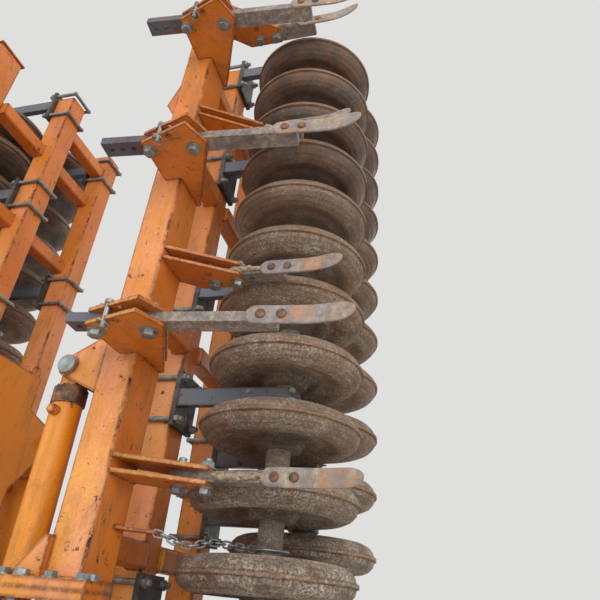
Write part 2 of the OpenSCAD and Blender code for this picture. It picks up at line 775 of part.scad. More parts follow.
module lift_barrel() {
    color(yellow) at_lift() difference() {
        union() {
            bar_x(0, 0, -tower_x + 1, tower_x - 1, 42);
            block(-40, 40, -34, 34, -80, 0);
            translate([0, 0, -lift_barrel_len + 40]) cylinder(r = lift_barrel_r, h = lift_barrel_len - 110, $fn = 64);
            translate([0, 0, -130]) cylinder(r = lift_barrel_r + 5, h = 50, $fn = 64);
            translate([0, 0, -lift_barrel_len]) cylinder(r = lift_barrel_r + 4, h = 60, $fn = 64);
        }
        bar_x(0, 0, -tower_gap, tower_gap, pin_r + fit_gap);
        translate([0, 0, -lift_barrel_len - 1]) cylinder(r = lift_rod_r + fit_gap, h = lift_barrel_len - 170, $fn = 48);
    }
}

module lift_rod() {
    color(steel) at_lift() {
        translate([0, 0, -lift_len + 34]) cylinder(r = lift_rod_r, h = lift_len - 34 - 420, $fn = 48);
        bar_x(0, -lift_len, -eye_w / 2, eye_w / 2, 42);
    }
}

// Axle

module axle_frame() {
    half = axle_arm_w / 2;
    top = axle_pivot_z + axle_arm_h / 2;
    low = axle_pivot_z - axle_arm_h / 2;
    tube = 55;
    placed() color(orange) {
        difference() {
            union() {
                across_x(-half, half) {
                    translate([axle_pivot_y, axle_pivot_z]) circle(r = axle_arm_h / 2, $fn = 64);
                    polygon([
                        [axle_pivot_y, low], [wheel_y - 520, low], [wheel_y - 90, wheel_z - tube],
                        [wheel_y + 40, wheel_z - tube], [wheel_y + 40, wheel_z + tube],
                        [wheel_y - 420, top], [axle_pivot_y, top]
                    ]);
                }
                beam_x(-wheel_x + tyre_w / 2 + 40, wheel_x - tyre_w / 2 - 40, wheel_y - tube, wheel_y + tube,
                    wheel_z - tube, wheel_z + tube);
                // Braces from the arm to the axle tube
                for (s = [0, 1]) mirror([s, 0, 0]) translate([0, 0, wheel_z - 8]) linear_extrude(16) polygon([
                    [half - 10, wheel_y - 330], [half + 260, wheel_y - tube + 4], [half - 10, wheel_y - tube + 4]
                ]);
                // Ears for the lift ram's rod
                for (s = [0, 1]) mirror([s, 0, 0])
                    across_x(eye_w / 2 + ear_gap, eye_w / 2 + ear_gap + ear_t) {
                        translate([lift_eye_y, lift_eye_z]) circle(r = 42, $fn = 48);
                        polygon([
                            [lift_eye_y - 70, top - 4], [lift_eye_y + 70, top - 4],
                            [lift_eye_y + 42, lift_eye_z], [lift_eye_y - 42, lift_eye_z]
                        ]);
                    }
            }
            bar_x(axle_pivot_y, axle_pivot_z, -axle_arm_w, axle_arm_w, pin_r + 10 + fit_gap);
        }
        // Spindles and hubs
        for (s = [0, 1]) mirror([s, 0, 0]) {
            bar_x(wheel_y, wheel_z, wheel_x - tyre_w / 2 - 60, wheel_x + 60, spindle_r);
            bar_x(wheel_y, wheel_z, wheel_x - tyre_w / 2 - 44, wheel_x - 70, 90);
        }
    }
}

module rim(s) {
    side(s) color(yellow) translate([wheel_x, wheel_y, wheel_z]) rotate([0, 90, 0]) rotate_extrude($fn = 96)
        polygon([
            [spindle_r + fit_gap, -40], [110, -40], [150, 10], [rim_r - 14, 10], [rim_r - 14, -tyre_w * 0.38],
            [rim_r + 12, -tyre_w * 0.44], [rim_r + 12, -tyre_w * 0.38], [rim_r, -tyre_w * 0.36],
            [rim_r, tyre_w * 0.36], [rim_r + 12, tyre_w * 0.38], [rim_r + 12, tyre_w * 0.44],
            [rim_r - 14, tyre_w * 0.38], [rim_r - 14, 26], [145, 26], [105, -20], [105, 30], [60, 30],
            [60, 62], [spindle_r + fit_gap, 62]
        ]);
}

module tyre(s) {
    half = tyre_w / 2;
    side(s) color(black) translate([wheel_x, wheel_y, wheel_z]) rotate([0, 90, 0]) rotate_extrude($fn = 96)
        polygon([
            [rim_r + seat_gap, -tyre_w * 0.355], [rim_r + 12.4, -tyre_w * 0.375], [rim_r + 12.4, -tyre_w * 0.44],
            [rim_r + 60, -half + 6],
            [rim_r + 120, -half], [tyre_r - 50, -half + 8], [tyre_r - 14, -half + 34], [tyre_r, -half + 80],
            [tyre_r, half - 80], [tyre_r - 14, half - 34], [tyre_r - 50, half - 8], [rim_r + 120, half],
            [rim_r + 60, half - 6], [rim_r + 12.4, tyre_w * 0.44], [rim_r + 12.4, tyre_w * 0.375],
            [rim_r + seat_gap, tyre_w * 0.355]
        ]);
}

// Drawbar, hitch and parking jack

module draw_beam() {
    back = -(cross_front_y - front_cross_d / 2);
    placed() color(orange) {
        across_x(-draw_w / 2, draw_w / 2) polygon([
            [-back, frame_z], [-back, frame_top], [-back - 560, frame_top],
            [-hitch_y + 180, hitch_z + 80], [-hitch_y + 180, hitch_z - 80], [-back - 500, frame_z - 30]
        ]);
        block(-draw_w / 2 - 20, draw_w / 2 + 20, -hitch_y + 160, -hitch_y + 180, hitch_z - 100, hitch_z + 100);
        // Bracket of the parking jack
        for (z = [690, 780])
            block(draw_w / 2, jack_x - leg_w / 2 - 8, -jack_y - 50, -jack_y + 50, z, z + 30);
    }
}

module hitch_eye() {
    placed() color(steel) difference() {
        union() {
            translate([0, -hitch_y, hitch_z - 22]) cylinder(r = hitch_r, h = 44, $fn = 64);
            translate([-45, -hitch_y, hitch_z - 22]) cube([90, 160, 44]);
            translate([-80, -hitch_y + 140, hitch_z - 90]) cube([160, 20, 180]);
        }
        translate([0, -hitch_y, hitch_z - 30]) cylinder(r = hitch_bore_r, h = 60, $fn = 64);
    }
}

module jack_tube() {
    w = leg_w / 2 + jack_wall;
    hole = leg_w / 2 + seat_gap;
    placed() color(orange) translate([jack_x, -jack_y, 0]) {
        difference() {
            block(-w, w, -w, w, jack_low_z, jack_top_z);
            block(-hole, hole, -hole, hole, jack_low_z - 10, jack_top_z - 10);
        }
        // Gear housing and crank
        translate([0, 0, jack_top_z]) cylinder(r = 34, h = 36, $fn = 48);
        bar_y(0, jack_top_z - 30, -w - 70, -w, 11);
        across_y(-w - 82, -w - 70) {
            translate([0, jack_top_z - 30]) circle(r = 18, $fn = 32);
            polygon([
                [-14, jack_top_z - 30], [14, jack_top_z - 30], [11, jack_top_z + 150], [-11, jack_top_z + 150]
            ]);
        }
        bar_y(0, jack_top_z + 140, -w - 190, -w - 82, 15);
    }
}

module jack_leg() {
    foot_t = 16;
    placed() color(steel) translate([jack_x, -jack_y, 0]) {
        block(-leg_w / 2, leg_w / 2, -leg_w / 2, leg_w / 2, foot_t, leg_top_z);
        cylinder(r = foot_r, h = foot_t, $fn = 64);
        for (a = [0, 90]) rotate([0, 0, a]) across_y(-6, 6) polygon([
            [20 - foot_r, foot_t], [foot_r - 20, foot_t], [leg_w / 2, 90], [-leg_w / 2, 90]
        ]);
    }
}

// Lock chain

// Lug on the main beam's outer face, whose hole holds the chain's first link.
module chain_lug() {
    tip = chain_from;
    difference() {
        translate([0, 0, chain_z - chain_lug_t / 2]) linear_extrude(chain_lug_t) {
            translate(tip) circle(r = 18, $fn = 48);
            polygon([
                [main_x1 - 6, main_y1 - 70], [main_x1 - 6, main_y1 - corner_r],
                [tip[0] - 6, tip[1] + 17], [tip[0] + 12, tip[1] - 13]
            ]);
        }
        translate([tip[0], tip[1], chain_z - 20]) cylinder(r = lug_hole_r, h = 40, $fn = 32);
    }
}

// Height of the chain above its lug: down in one easy curve, then up over the ring.
function chain_drop(u) = u < 0.3 ? chain_dip * (1 - cos(600 * u)) / 2
    : chain_dip * (1 + cos(180 * min(1, (u - 0.3) / 0.27))) / 2;

// How far a link's round end stands back from the corners of a bar this thick to each side.
function seat_back(half) = link_gap / 2 - sqrt(pow(link_gap / 2, 2) - half * half);

// A point on the chain's way, from 0 at the lug to 1 just inside the hook's bar.
function chain_at(u) = let (
    run = chain_to - chain_from,
    way = chain_start + u * (norm(run) + chain_past - chain_start),
    part = way / norm(run)
) [
    chain_from[0] + run[0] * part,
    chain_from[1] + run[1] * part,
    chain_z - chain_drop(u)
];

module stadium(length, width) {
    for (e = [-1, 1])
        translate([e * (length - width) / 2, 0]) circle(r = width / 2, $fn = 32);
    square([length - width, width], center = true);
}

// A link along X, flat in X and Y; reach is its clear length.
module link(reach) {
    translate([0, 0, -chain_wire / 2]) linear_extrude(chain_wire) difference() {
        stadium(reach + 2 * chain_wire, link_gap + 2 * chain_wire);
        stadium(reach, link_gap);
    }
}

module lock_chain(s) {
    side(s) color(steel) {
        for (i = [0:link_count - 1]) {
            a = chain_at(i / link_count);
            b = chain_at((i + 1) / link_count);
            d = b - a;
            translate((a + b) / 2)
                rotate([0, -atan2(d[2], norm([d[0], d[1]])), atan2(d[1], d[0])])
                    rotate([i % 2 == 0 ? 90 : 0, 0, 0]) link(norm(d) + link_slack);
        }
        // Open hook round the gang's tube, clear of it
        end = chain_at(1);
        translate([gang_x, 0, end[2] - hook_wire / 2]) linear_extrude(hook_wire) difference() {
            circle(r = hook_r + hook_wire / 2, $fn = 64);
            circle(r = hook_r - hook_wire / 2, $fn = 64);
            translate([0, -6]) square(2 * hook_r);
        }
    }
}

draw_beam();
hitch_eye();
jack_tube();
jack_leg();
centre_frame();
tower();
hinge_pins();
lift_barrel();
lift_rod();
axle_frame();
rim(1);  // rim_left
tyre(1);  // tyre_left
rim(-1);  // rim_right
tyre(-1);  // tyre_right
main_beam(1);  // main_beam_left
wing_frame(1);  // wing_frame_left
tine_plates(1);  // tine_plates_left
front_tines(1);  // front_tines_left
rear_tines(1);  // rear_tines_left
shares(1);  // shares_left
gang_arms(1);  // gang_arms_left
clamps(1);  // clamps_left
lock_chain(1);  // lock_chain_left
main_beam(-1);  // main_beam_right
wing_frame(-1);  // wing_frame_right
tine_plates(-1);  // tine_plates_right
front_tines(-1);  // front_tines_right
rear_tines(-1);  // rear_tines_right
shares(-1);  // shares_right
gang_arms(-1);  // gang_arms_right
clamps(-1);  // clamps_right
lock_chain(-1);  // lock_chain_right
gang_rings(1, 0, first_z);  // front_rings_left
gang_tube(1, 0, first_z);  // front_tube_left
gang_rings(1, gang_gap, far_z);  // rear_rings_left
gang_tube(1, gang_gap, far_z);  // rear_tube_left
gang_rings(-1, 0, first_z);  // front_rings_right
gang_tube(-1, 0, first_z);  // front_tube_right
gang_rings(-1, gang_gap, far_z);  // rear_rings_right
gang_tube(-1, gang_gap, far_z);  // rear_tube_right
fold_barrel(1);  // fold_barrel_left
fold_rod(1);  // fold_rod_left
fold_barrel(-1);  // fold_barrel_right
fold_rod(-1);  // fold_rod_right
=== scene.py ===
"""Looks for the folding tine and ring press harrow: materials, small fittings, light and camera.

Metres, in the row frame: +X to the machine's left, +Y to the rear, +Z up.
"""

import json
import math
import random

import bmesh
import bpy
from mathutils import Matrix, Vector


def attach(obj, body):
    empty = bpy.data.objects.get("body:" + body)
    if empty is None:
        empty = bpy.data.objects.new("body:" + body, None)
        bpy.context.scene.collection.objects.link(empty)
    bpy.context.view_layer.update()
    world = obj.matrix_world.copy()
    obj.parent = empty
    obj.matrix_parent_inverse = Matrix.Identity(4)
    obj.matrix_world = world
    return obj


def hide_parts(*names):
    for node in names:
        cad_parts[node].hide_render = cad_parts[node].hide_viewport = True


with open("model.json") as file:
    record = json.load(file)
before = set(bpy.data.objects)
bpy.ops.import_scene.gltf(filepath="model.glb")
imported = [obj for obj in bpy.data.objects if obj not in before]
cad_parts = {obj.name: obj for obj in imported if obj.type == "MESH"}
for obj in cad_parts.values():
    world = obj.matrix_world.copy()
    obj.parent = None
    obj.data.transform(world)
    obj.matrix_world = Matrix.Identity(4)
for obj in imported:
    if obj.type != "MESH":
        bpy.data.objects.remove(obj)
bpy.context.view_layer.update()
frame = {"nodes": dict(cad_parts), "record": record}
random.seed(11)

# Driving sizes, the same as the part's. X is for the left side, and Y counts from the front
# gang's axis, which lies at CENTRE_Y. X0 and X1 are where a piece starts and ends.
SIDES = {"left": 1, "right": -1}
CENTRE_Y = 0.679

# Gangs: the rings of the front one start at FIRST_Z, those of the rear one at FAR_Z
GANG_X = 1.035
GANG_GAP = 0.45
RING_PITCH = 0.24
RING_COUNT = 14
FIRST_Z = 0.745
FAR_Z = FIRST_Z + RING_PITCH / 2
FRONT_ARM_GAPS = (0, 2, 5, 7, 10, 13)
REAR_ARM_GAPS = (1, 3, 4, 8, 12)

# Beams of a wing
MAIN_X0, MAIN_X1 = 0.591, 0.711
MAIN_Y0, MAIN_Y1 = -0.534, -0.374
MAIN_TOP = FIRST_Z + (RING_COUNT - 1) * RING_PITCH + 0.075
GBEAM_X0, GBEAM_X1 = 0.495, 0.615
BEAM_W = 0.12
CORNER = 0.012
FLANGE_Z, FLANGE_T = 1.384, 0.024
CROSS_X0, CROSS_W = 0.555, 0.08
CROSS_Z = (1.04, 1.507, 2.3, 3.08, 3.6)
CLAMP_T = 0.02

# Fold hinge and fold ram
HINGE_X, HINGE_Z = 0.415, 1.04
HINGE_Y = (-0.399, 0.45)
LUG_T = 0.05
RAM_Y = -0.483
RAM_PIN = (0.475, 2.004)
RAM_EYE = (0.5, 0.945)
BARREL_R, BARREL_LEN = 0.047, 0.72

# Tines and their shares
TINE_T, PLATE_T = 0.03, 0.012
TINE_HALF = TINE_T / 2 + PLATE_T
TINE_W = 0.064
FRONT_TINES_Z = (1.29, 2.065, 2.785, 3.505)
FRONT_TINE_X, FRONT_TINE_Y = -0.550, -0.703
FRONT_TIP, FRONT_RAKE = 0.378, math.radians(5)
REAR_TINES_Z = (0.985, 1.705, 2.425, 3.145, 3.865)
REAR_TINE_Y = -0.348
REAR_TIPS = (0.371, 0.371, 0.285, 0.292, 0.304)
SHARE_LEN, SHARE_W, SHARE_T, SHARE_CURL = 0.300, 0.056, 0.012, 0.034

# Lock chain: its lug, links and hook
CHAIN_WIRE, LINK_GAP, LINK_PLAY, LINK_COUNT = 0.0065, 0.012, 0.00095, 15
HOOK_R, HOOK_WIRE = 0.065, 0.010
CHAIN_LUG_T, LUG_HOLE_R = 0.008, 0.0095
SEAT_GAP = 0.0003
CHAIN_DIP = 0.020
CHAIN_Z = FIRST_Z + RING_PITCH * 3.35
CHAIN_FROM = Vector((MAIN_X1 + 0.074, -0.352))
CHAIN_TO = Vector((GANG_X - HOOK_R * 0.62, -HOOK_R * 0.79))

# Centre frame, drawbar, axle ram and wheels
FRAME_HALF, FRAME_Z0, FRAME_Z1 = 0.33, 1.06, 1.21
CROSS_FRONT = (-0.532, -0.342)
CROSS_REAR = (0.375, 0.525)
CHEEK_OFF, CHEEK_T = 0.033, 0.02
RAIL_X = (0.1, 0.2)
DRAW_W = 0.18
LIFT_PIN = (-0.072, 1.882)
LIFT_EYE = (0.219, 0.94)
LIFT_R, LIFT_LEN = 0.056, 0.69
WHEEL = (0.88, 1.3, 0.46)
RIM_R = 0.232


# Camera: the photograph's viewing angle, at a person's height in front of the left wing

CAMERA_AT = Vector((GANG_X + 0.577, CENTRE_Y - 1.885, 1.374))
YAW, PITCH, ROLL = math.radians(16.22), math.radians(30.24), math.radians(5.12)
LENS, SENSOR = 32.4, 36


def add_camera():
    ahead = Vector((-math.sin(YAW) * math.cos(PITCH), math.cos(YAW) * math.cos(PITCH), math.sin(PITCH)))
    right = Vector((math.cos(YAW), math.sin(YAW), 0))
    up = right.cross(ahead)
    right, up = (
        right * math.cos(ROLL) + up * math.sin(ROLL),
        up * math.cos(ROLL) - right * math.sin(ROLL),
    )
    camera = bpy.data.objects.new("camera", bpy.data.cameras.new("camera"))
    camera.data.lens = LENS
    camera.data.sensor_width = SENSOR
    camera.data.clip_start, camera.data.clip_end = 0.05, 60
    camera.matrix_world = Matrix.Translation(CAMERA_AT) @ Matrix((right, up, -ahead)).transposed().to_4x4()
    bpy.context.collection.objects.link(camera)
    bpy.context.scene.camera = camera


# Materials

class Nodes:
    """A few short ways to add and join shader nodes."""

    def __init__(self, name):
        self.material = bpy.data.materials.new(name)
        self.material.use_nodes = True
        self.tree = self.material.node_tree
        self.shader = self.tree.nodes["Principled BSDF"]
        self.coords = self.tree.nodes.new("ShaderNodeTexCoord")

    def join(self, source, target):
        self.tree.links.new(source, target)

    def noise(self, scale, detail=5.0, rough=0.6, stretch=(1, 1, 1)):
        mapping = self.tree.nodes.new("ShaderNodeMapping")
        mapping.inputs["Scale"].default_value = stretch
        node = self.tree.nodes.new("ShaderNodeTexNoise")
        node.inputs["Scale"].default_value = scale
        node.inputs["Detail"].default_value = detail
        node.inputs["Roughness"].default_value = rough
        self.join(self.coords.outputs["Object"], mapping.inputs["Vector"])
        self.join(mapping.outputs["Vector"], node.inputs["Vector"])
        return node.outputs["Fac"]

    def cracks(self, scale):
        node = self.tree.nodes.new("ShaderNodeTexVoronoi")
        node.feature = "DISTANCE_TO_EDGE"
        node.inputs["Scale"].default_value = scale
        self.join(self.coords.outputs["Object"], node.inputs["Vector"])
        return node.outputs["Distance"]

    def ramp(self, value, low, high, out=(0.0, 1.0)):
        """Turns low to high into the range of out, and holds its ends beyond them."""
        node = self.tree.nodes.new("ShaderNodeMapRange")
        for name, number in zip(("From Min", "From Max", "To Min", "To Max"), (low, high) + tuple(out)):
            node.inputs[name].default_value = number
        self.join(value, node.inputs["Value"])
        return node.outputs["Result"]

    def blend(self, mask, first, second):
        """The first colour where the mask is 0, and the second where it is 1."""
        node = self.tree.nodes.new("ShaderNodeMix")
        node.data_type = "RGBA"
        self.join(mask, node.inputs["Factor"])
        for socket, colour in ((node.inputs["A"], first), (node.inputs["B"], second)):
            if isinstance(colour, tuple):
                socket.default_value = colour + (1,)
            else:
                self.join(colour, socket)
        return node.outputs["Result"]

    def number(self, kind, first, second):
        node = self.tree.nodes.new("ShaderNodeMath")
        node.operation = kind
        for socket, value in zip(node.inputs, (first, second)):
            if isinstance(value, (int, float)):
                socket.default_value = value
            else:
                self.join(value, socket)
        return node.outputs["Value"]

    def times(self, first, second):
        return self.number("MULTIPLY", first, second)

    def most(self, first, *others):
        for other in others:
            first = self.number("MAXIMUM", first, other)
        return first

    def facing(self, axis):
        """How far a face looks along an axis of the row frame, from -1 to 1."""
        node = self.tree.nodes.new("ShaderNodeSeparateXYZ")
        self.join(self.coords.outputs["Normal"], node.inputs["Vector"])
        return node.outputs[axis]

    def place(self, axis):
        """Where a point lies along an axis of the row frame, in metres."""
        node = self.tree.nodes.new("ShaderNodeSeparateXYZ")
        self.join(self.coords.outputs["Object"], node.inputs["Vector"])
        return node.outputs[axis]

    def off_middle(self):
        """How far a point lies to either side of the machine's middle."""
        return self.number("ABSOLUTE", self.place("X"), 0.0)

    def from_axis(self, x, y):
        """Distance from the upright axis at plus or minus x, in metres."""
        across = self.number("SUBTRACT", self.off_middle(), x)
        along = self.number("SUBTRACT", self.place("Y"), y)
        square = self.number("ADD", self.times(across, across), self.times(along, along))
        return self.number("SQRT", square, 0.0)

    def band(self, value, low, high, soft, strength):
        """Up to the strength between low and high, and 0 outside them."""
        inside = self.ramp(value, low - soft, low, (0, strength))
        return self.times(inside, self.ramp(value, high, high + soft, (1, 0)))

    def round_corner(self):
        """High on the round corners of upright box tubes, which look halfway between X and Y."""
        across = [self.number("ABSOLUTE", self.facing(axis), 0.0) for axis in "XY"]
        return self.ramp(self.times(across[0], across[1]), 0.12, 0.40)

    def edge_turn(self, radius):
        """1 on flat faces, lower where the surface turns within the radius."""
        surface = self.tree.nodes.new("ShaderNodeNewGeometry")
        rounded = self.tree.nodes.new("ShaderNodeBevel")
        rounded.samples = 4
        rounded.inputs["Radius"].default_value = radius
        node = self.tree.nodes.new("ShaderNodeVectorMath")
        node.operation = "DOT_PRODUCT"
        self.join(surface.outputs["Normal"], node.inputs[0])
        self.join(rounded.outputs["Normal"], node.inputs[1])
        return node.outputs["Value"]

    def finish(self, colour, roughness, height, bump, distance, metallic=0.0):
        """Joins the results to the shader. bump is the bump's strength, and distance its height."""
        node = self.tree.nodes.new("ShaderNodeBump")
        node.inputs["Strength"].default_value = bump
        node.inputs["Distance"].default_value = distance
        self.join(height, node.inputs["Height"])
        self.join(node.outputs["Normal"], self.shader.inputs["Normal"])
        self.join(colour, self.shader.inputs["Base Color"])
        self.join(roughness, self.shader.inputs["Roughness"])
        if isinstance(metallic, float):
            self.shader.inputs["Metallic"].default_value = metallic
        else:
            self.join(metallic, self.shader.inputs["Metallic"])
        return self.material


RUST = (0.15, 0.052, 0.024)
GRIME = (0.21, 0.095, 0.042)
ARM_GRIME = (0.15, 0.125, 0.10)
TAN = (0.56, 0.45, 0.33)
# The paler colour stands for bleached paint and also for a painted sheen of light from the front
ORANGE, BLEACHED_AND_SHEEN = (0.56, 0.135, 0.007), (0.82, 0.375, 0.175)

# Bands of a ring round its axis: the radius where each starts and ends, softness, strength, colour. The
# groove band and the shoulder band are painted shade.
RING_BANDS = (
    (0.0, 0.083, 0.003, 0.40, (0.44, 0.40, 0.37)),
    # Painted shadow in the groove between the hub and the ring
    (0.088, 0.125, 0.025, 0.60, (0.075, 0.052, 0.040)),
    # Painted shade on the shoulder just inside the lip
    (0.270, 0.286, 0.010, 0.45, (0.085, 0.055, 0.040)),
    (0.2945, 0.400, 0.001, 0.65, (0.32, 0.155, 0.07)),
)


def shades(colour, share):
    return tuple(c * share for c in colour)


def old_paint(
        name, fresh, faded_and_sheen, rust_start, grime=GRIME, front_sheen_share=0.85, corner_wear=False, yellowing=0.42):
    """Farm machine paint: paler where it faces forward, partly bleached and partly a painted sheen, grimy
    in corners, worn and chipped to rust.
    """
    n = Nodes(name)
    n.shader.inputs["Specular IOR Level"].default_value = 0.35

    # Paler paint, most on faces that look forward, and low down: partly bleached, partly a painted sheen of
    # light from the front
    front_sheen_mask = n.ramp(n.facing("Y"), -0.25, -0.9, (0, front_sheen_share))
    sheen_and_bleach = n.times(front_sheen_mask, n.ramp(n.place("Z"), 1.9, 3.2, (1, 0.4)))
    patches = n.ramp(n.noise(3.2, 7, 0.62), 0.36, 0.60)
    patchy = n.times(sheen_and_bleach, n.ramp(patches, 0, 1, (0.55, 1)))
    fade_and_sheen = n.most(patchy, n.ramp(patches, 0, 1, (0, 0.22)))
    yellowed = n.ramp(n.noise(4.6, 5, 0.6, (1.3, 1.3, 0.6)), 0.44, 0.58)
    yellow = (faded_and_sheen[0] * 0.96, faded_and_sheen[1] * 0.98, faded_and_sheen[2] * yellowing)
    colour = n.blend(fade_and_sheen, fresh, n.blend(yellowed, faded_and_sheen, yellow))
    grain = n.ramp(n.noise(170, 5, 0.8), 0.48, 0.66, (0, 0.34))
    colour = n.blend(grain, colour, shades(fresh, 0.5))

    # Grime in a thin film, on top faces and in the corners
    film = n.ramp(n.noise(6, 9, 0.74, (1.6, 1.6, 0.5)), 0.50, 0.74, (0, 0.75))
    settled = n.times(n.ramp(n.facing("Z"), 0.3, 0.95), n.ramp(n.noise(18, 5), 0.3, 0.6, (0.35, 0.8)))
    turn = n.edge_turn(0.015)
    corner = n.times(n.ramp(turn, 0.995, 0.92, (0, 0.8)), n.ramp(n.noise(17, 8, 0.75), 0.36, 0.58))
    colour = n.blend(n.most(film, settled, corner), colour, grime)

    # Rust in chips and scrapes, and where edges are rubbed
    chips = n.ramp(n.noise(26, 10, 0.78), rust_start, rust_start + 0.03)
    scrapes = n.ramp(n.noise(9, 9, 0.8, (3.5, 3.5, 0.6)), rust_start + 0.03, rust_start + 0.06)
    rubbed = n.ramp(turn, 0.972, 0.93)
    if corner_wear:
        rubbed = n.most(rubbed, n.times(n.round_corner(), n.ramp(n.noise(7, 4), 0.42, 0.58)))
    rubbed = n.times(rubbed, n.ramp(n.noise(40, 9, 0.8), 0.42, 0.50))
    worn = n.most(chips, scrapes, rubbed)
    rust_tone = n.blend(n.ramp(n.noise(60, 4), 0.4, 0.6), RUST, shades(RUST, 0.35))
    colour = n.blend(worn, colour, rust_tone)
    roughness = n.most(n.ramp(film, 0, 0.7, (0.42, 0.78)), n.times(worn, 0.9))
    height = n.number("SUBTRACT", n.noise(140, 3), n.times(worn, 0.8))
    return n.finish(colour, roughness, height, 0.4, 0.0015)


def bare_metal(name, bright, dark, rust_start, rough, rust=RUST):
    """Steel with a worn sheen and rust where nothing rubs it."""
    n = Nodes(name)
    colour = n.blend(n.ramp(n.noise(30, 5, 0.6), 0.35, 0.65), bright, dark)
    rusty = n.ramp(n.noise(19, 9, 0.75), rust_start, rust_start + 0.12)
    rust_tone = n.blend(n.ramp(n.noise(75, 4), 0.4, 0.6), rust, shades(rust, 0.5))
    colour = n.blend(rusty, colour, rust_tone)
    roughness = n.most(n.ramp(n.noise(50, 4), 0.3, 0.7, rough), n.times(rusty, 0.85))
    height = n.number("ADD", n.noise(120, 4), n.times(rusty, 0.5))
    return n.finish(colour, roughness, height, 0.3, 0.0015, n.ramp(rusty, 0, 1, (0.85, 0.1)))


def dusty_bar(name, steel, rust, dust_from, dust_to, bare, rust_start):
    """Flat bar, clean near the machine's middle and caked with pale dust over rust past dust_to."""
    n = Nodes(name)
    colour = n.blend(n.ramp(n.noise(7, 6), 0.36, 0.64), steel, shades(steel, 0.55))
    rusty = n.ramp(n.noise(13, 9, 0.75), rust_start, rust_start + 0.09, (0, 0.9))
    colour = n.blend(rusty, colour, rust)
    reach = n.ramp(n.off_middle(), dust_from, dust_to)
    cake = n.times(reach, n.ramp(n.noise(6, 10, 0.74), bare, bare + 0.2))
    specks = n.ramp(n.noise(85, 9, 0.85), 0.44, 0.60, (0.3, 1))
    sprinkle = n.times(n.ramp(n.noise(70, 8, 0.85), 0.56, 0.64), 0.5)
    mask = n.most(n.times(cake, specks), sprinkle)
    tone = n.blend(n.ramp(n.noise(40, 7, 0.7), 0.38, 0.62), TAN, shades(TAN, 0.42))
    colour = n.blend(mask, colour, tone)
    roughness = n.ramp(mask, 0, 1, (0.42, 0.95))
    height = n.number("ADD", n.times(mask, 0.8), n.noise(110, 6, 0.7))
    return n.finish(colour, roughness, height, 0.6, 0.002, n.ramp(mask, 0, 1, (0.35, 0.0)))


def dirty_clamp():
    """Dark oily plate on the outer side, dull zinc on the rods that run round the beam."""
    n = Nodes("dirty_clamp")
    plate_colours = (0.032, 0.028, 0.027), (0.115, 0.092, 0.074)
    rod_colours = (0.30, 0.32, 0.30), (0.15, 0.115, 0.085)
    plate = n.blend(n.ramp(n.noise(16, 8, 0.7), 0.38, 0.62), *plate_colours)
    rods = n.blend(n.ramp(n.noise(28, 8, 0.75), 0.42, 0.62), *rod_colours)
    is_rod = n.ramp(n.off_middle(), GBEAM_X1 - 0.001, GBEAM_X1 - 0.002)
    is_end = n.ramp(n.off_middle(), GBEAM_X1 + CLAMP_T, GBEAM_X1 + CLAMP_T + 0.001)
    metal = n.most(is_rod, is_end)
    colour = n.blend(metal, plate, rods)
    roughness = n.ramp(n.noise(40, 5), 0.3, 0.7, (0.45, 0.8))
    return n.finish(colour, roughness, n.noise(120, 6, 0.7), 0.4, 0.0015, n.ramp(metal, 0, 1, (0.1, 0.6)))


def muddy_iron(name, axis_y):
    """Cast ring in bands round its axis, under dried dust that is paler and thicker low down."""
    n = Nodes(name)
    iron_colours = (0.048, 0.036, 0.033), (0.175, 0.082, 0.042)
    dust_colours = (0.94, 0.83, 0.69), (0.28, 0.21, 0.155)
    iron = n.blend(n.ramp(n.noise(10, 8, 0.74, (1, 1, 1.5)), 0.42, 0.58), *iron_colours)
    pale = n.blend(n.ramp(n.noise(125, 6, 0.85), 0.46, 0.55), *dust_colours)
    dust = n.blend(n.ramp(n.noise(12, 8, 0.75, (1, 1, 2)), 0.44, 0.70), pale, (0.235, 0.15, 0.095))
    brown = n.times(n.ramp(n.place("Z"), 1.4, 2.2, (0.1, 0.75)), n.ramp(n.noise(6, 8, 0.7), 0.36, 0.54))
    dust = n.blend(brown, dust, (0.40, 0.255, 0.155))

    # Where the dust lies
    low = n.ramp(n.place("Z"), 2.6, 3.15, (1.0, 0.2))
    patches = n.ramp(n.noise(5, 10, 0.75, (1, 1, 1.6)), 0.28, 0.50, (0.35, 1.0))
    specks = n.ramp(n.noise(95, 9, 0.88), 0.42, 0.54, (0.40, 1.0))
    cake = n.times(n.times(patches, low), specks)
    sprinkle = n.ramp(n.noise(190, 8, 0.88), 0.53, 0.62, (0, 0.5))
    settled = n.ramp(n.facing("Z"), 0.0, 0.9, (0, 0.5))
    mud = n.most(cake, sprinkle, settled)
    colour = n.blend(mud, iron, dust)

    # Pale hub, painted shadow in the groove round it, painted shade on the shoulder inside the lip, and
    # rusty lip, then dirt along the lip's corners
    reach = n.from_axis(GANG_X, axis_y)
    smear = n.ramp(n.noise(8, 8, 0.75), 0.38, 0.60, (0.15, 1.0))
    for low_r, high_r, soft, strength, shade in RING_BANDS:
        colour = n.blend(n.times(n.band(reach, low_r, high_r, soft, strength), smear), colour, shade)
    rim = n.times(n.ramp(n.edge_turn(0.010), 0.95, 0.82), n.ramp(n.noise(14, 7, 0.7), 0.40, 0.56))
    colour = n.blend(rim, colour, (0.045, 0.030, 0.022))

    crack = n.ramp(n.cracks(26), 0.0, 0.035)
    height = n.number("ADD", n.times(n.noise(75, 10, 0.8), 1.4), n.times(mud, 0.9))
    height = n.number("ADD", height, n.times(crack, 0.15))
    return n.finish(colour, n.ramp(mud, 0, 0.7, (0.30, 0.95)), height, 0.9, 0.003, 0.2)


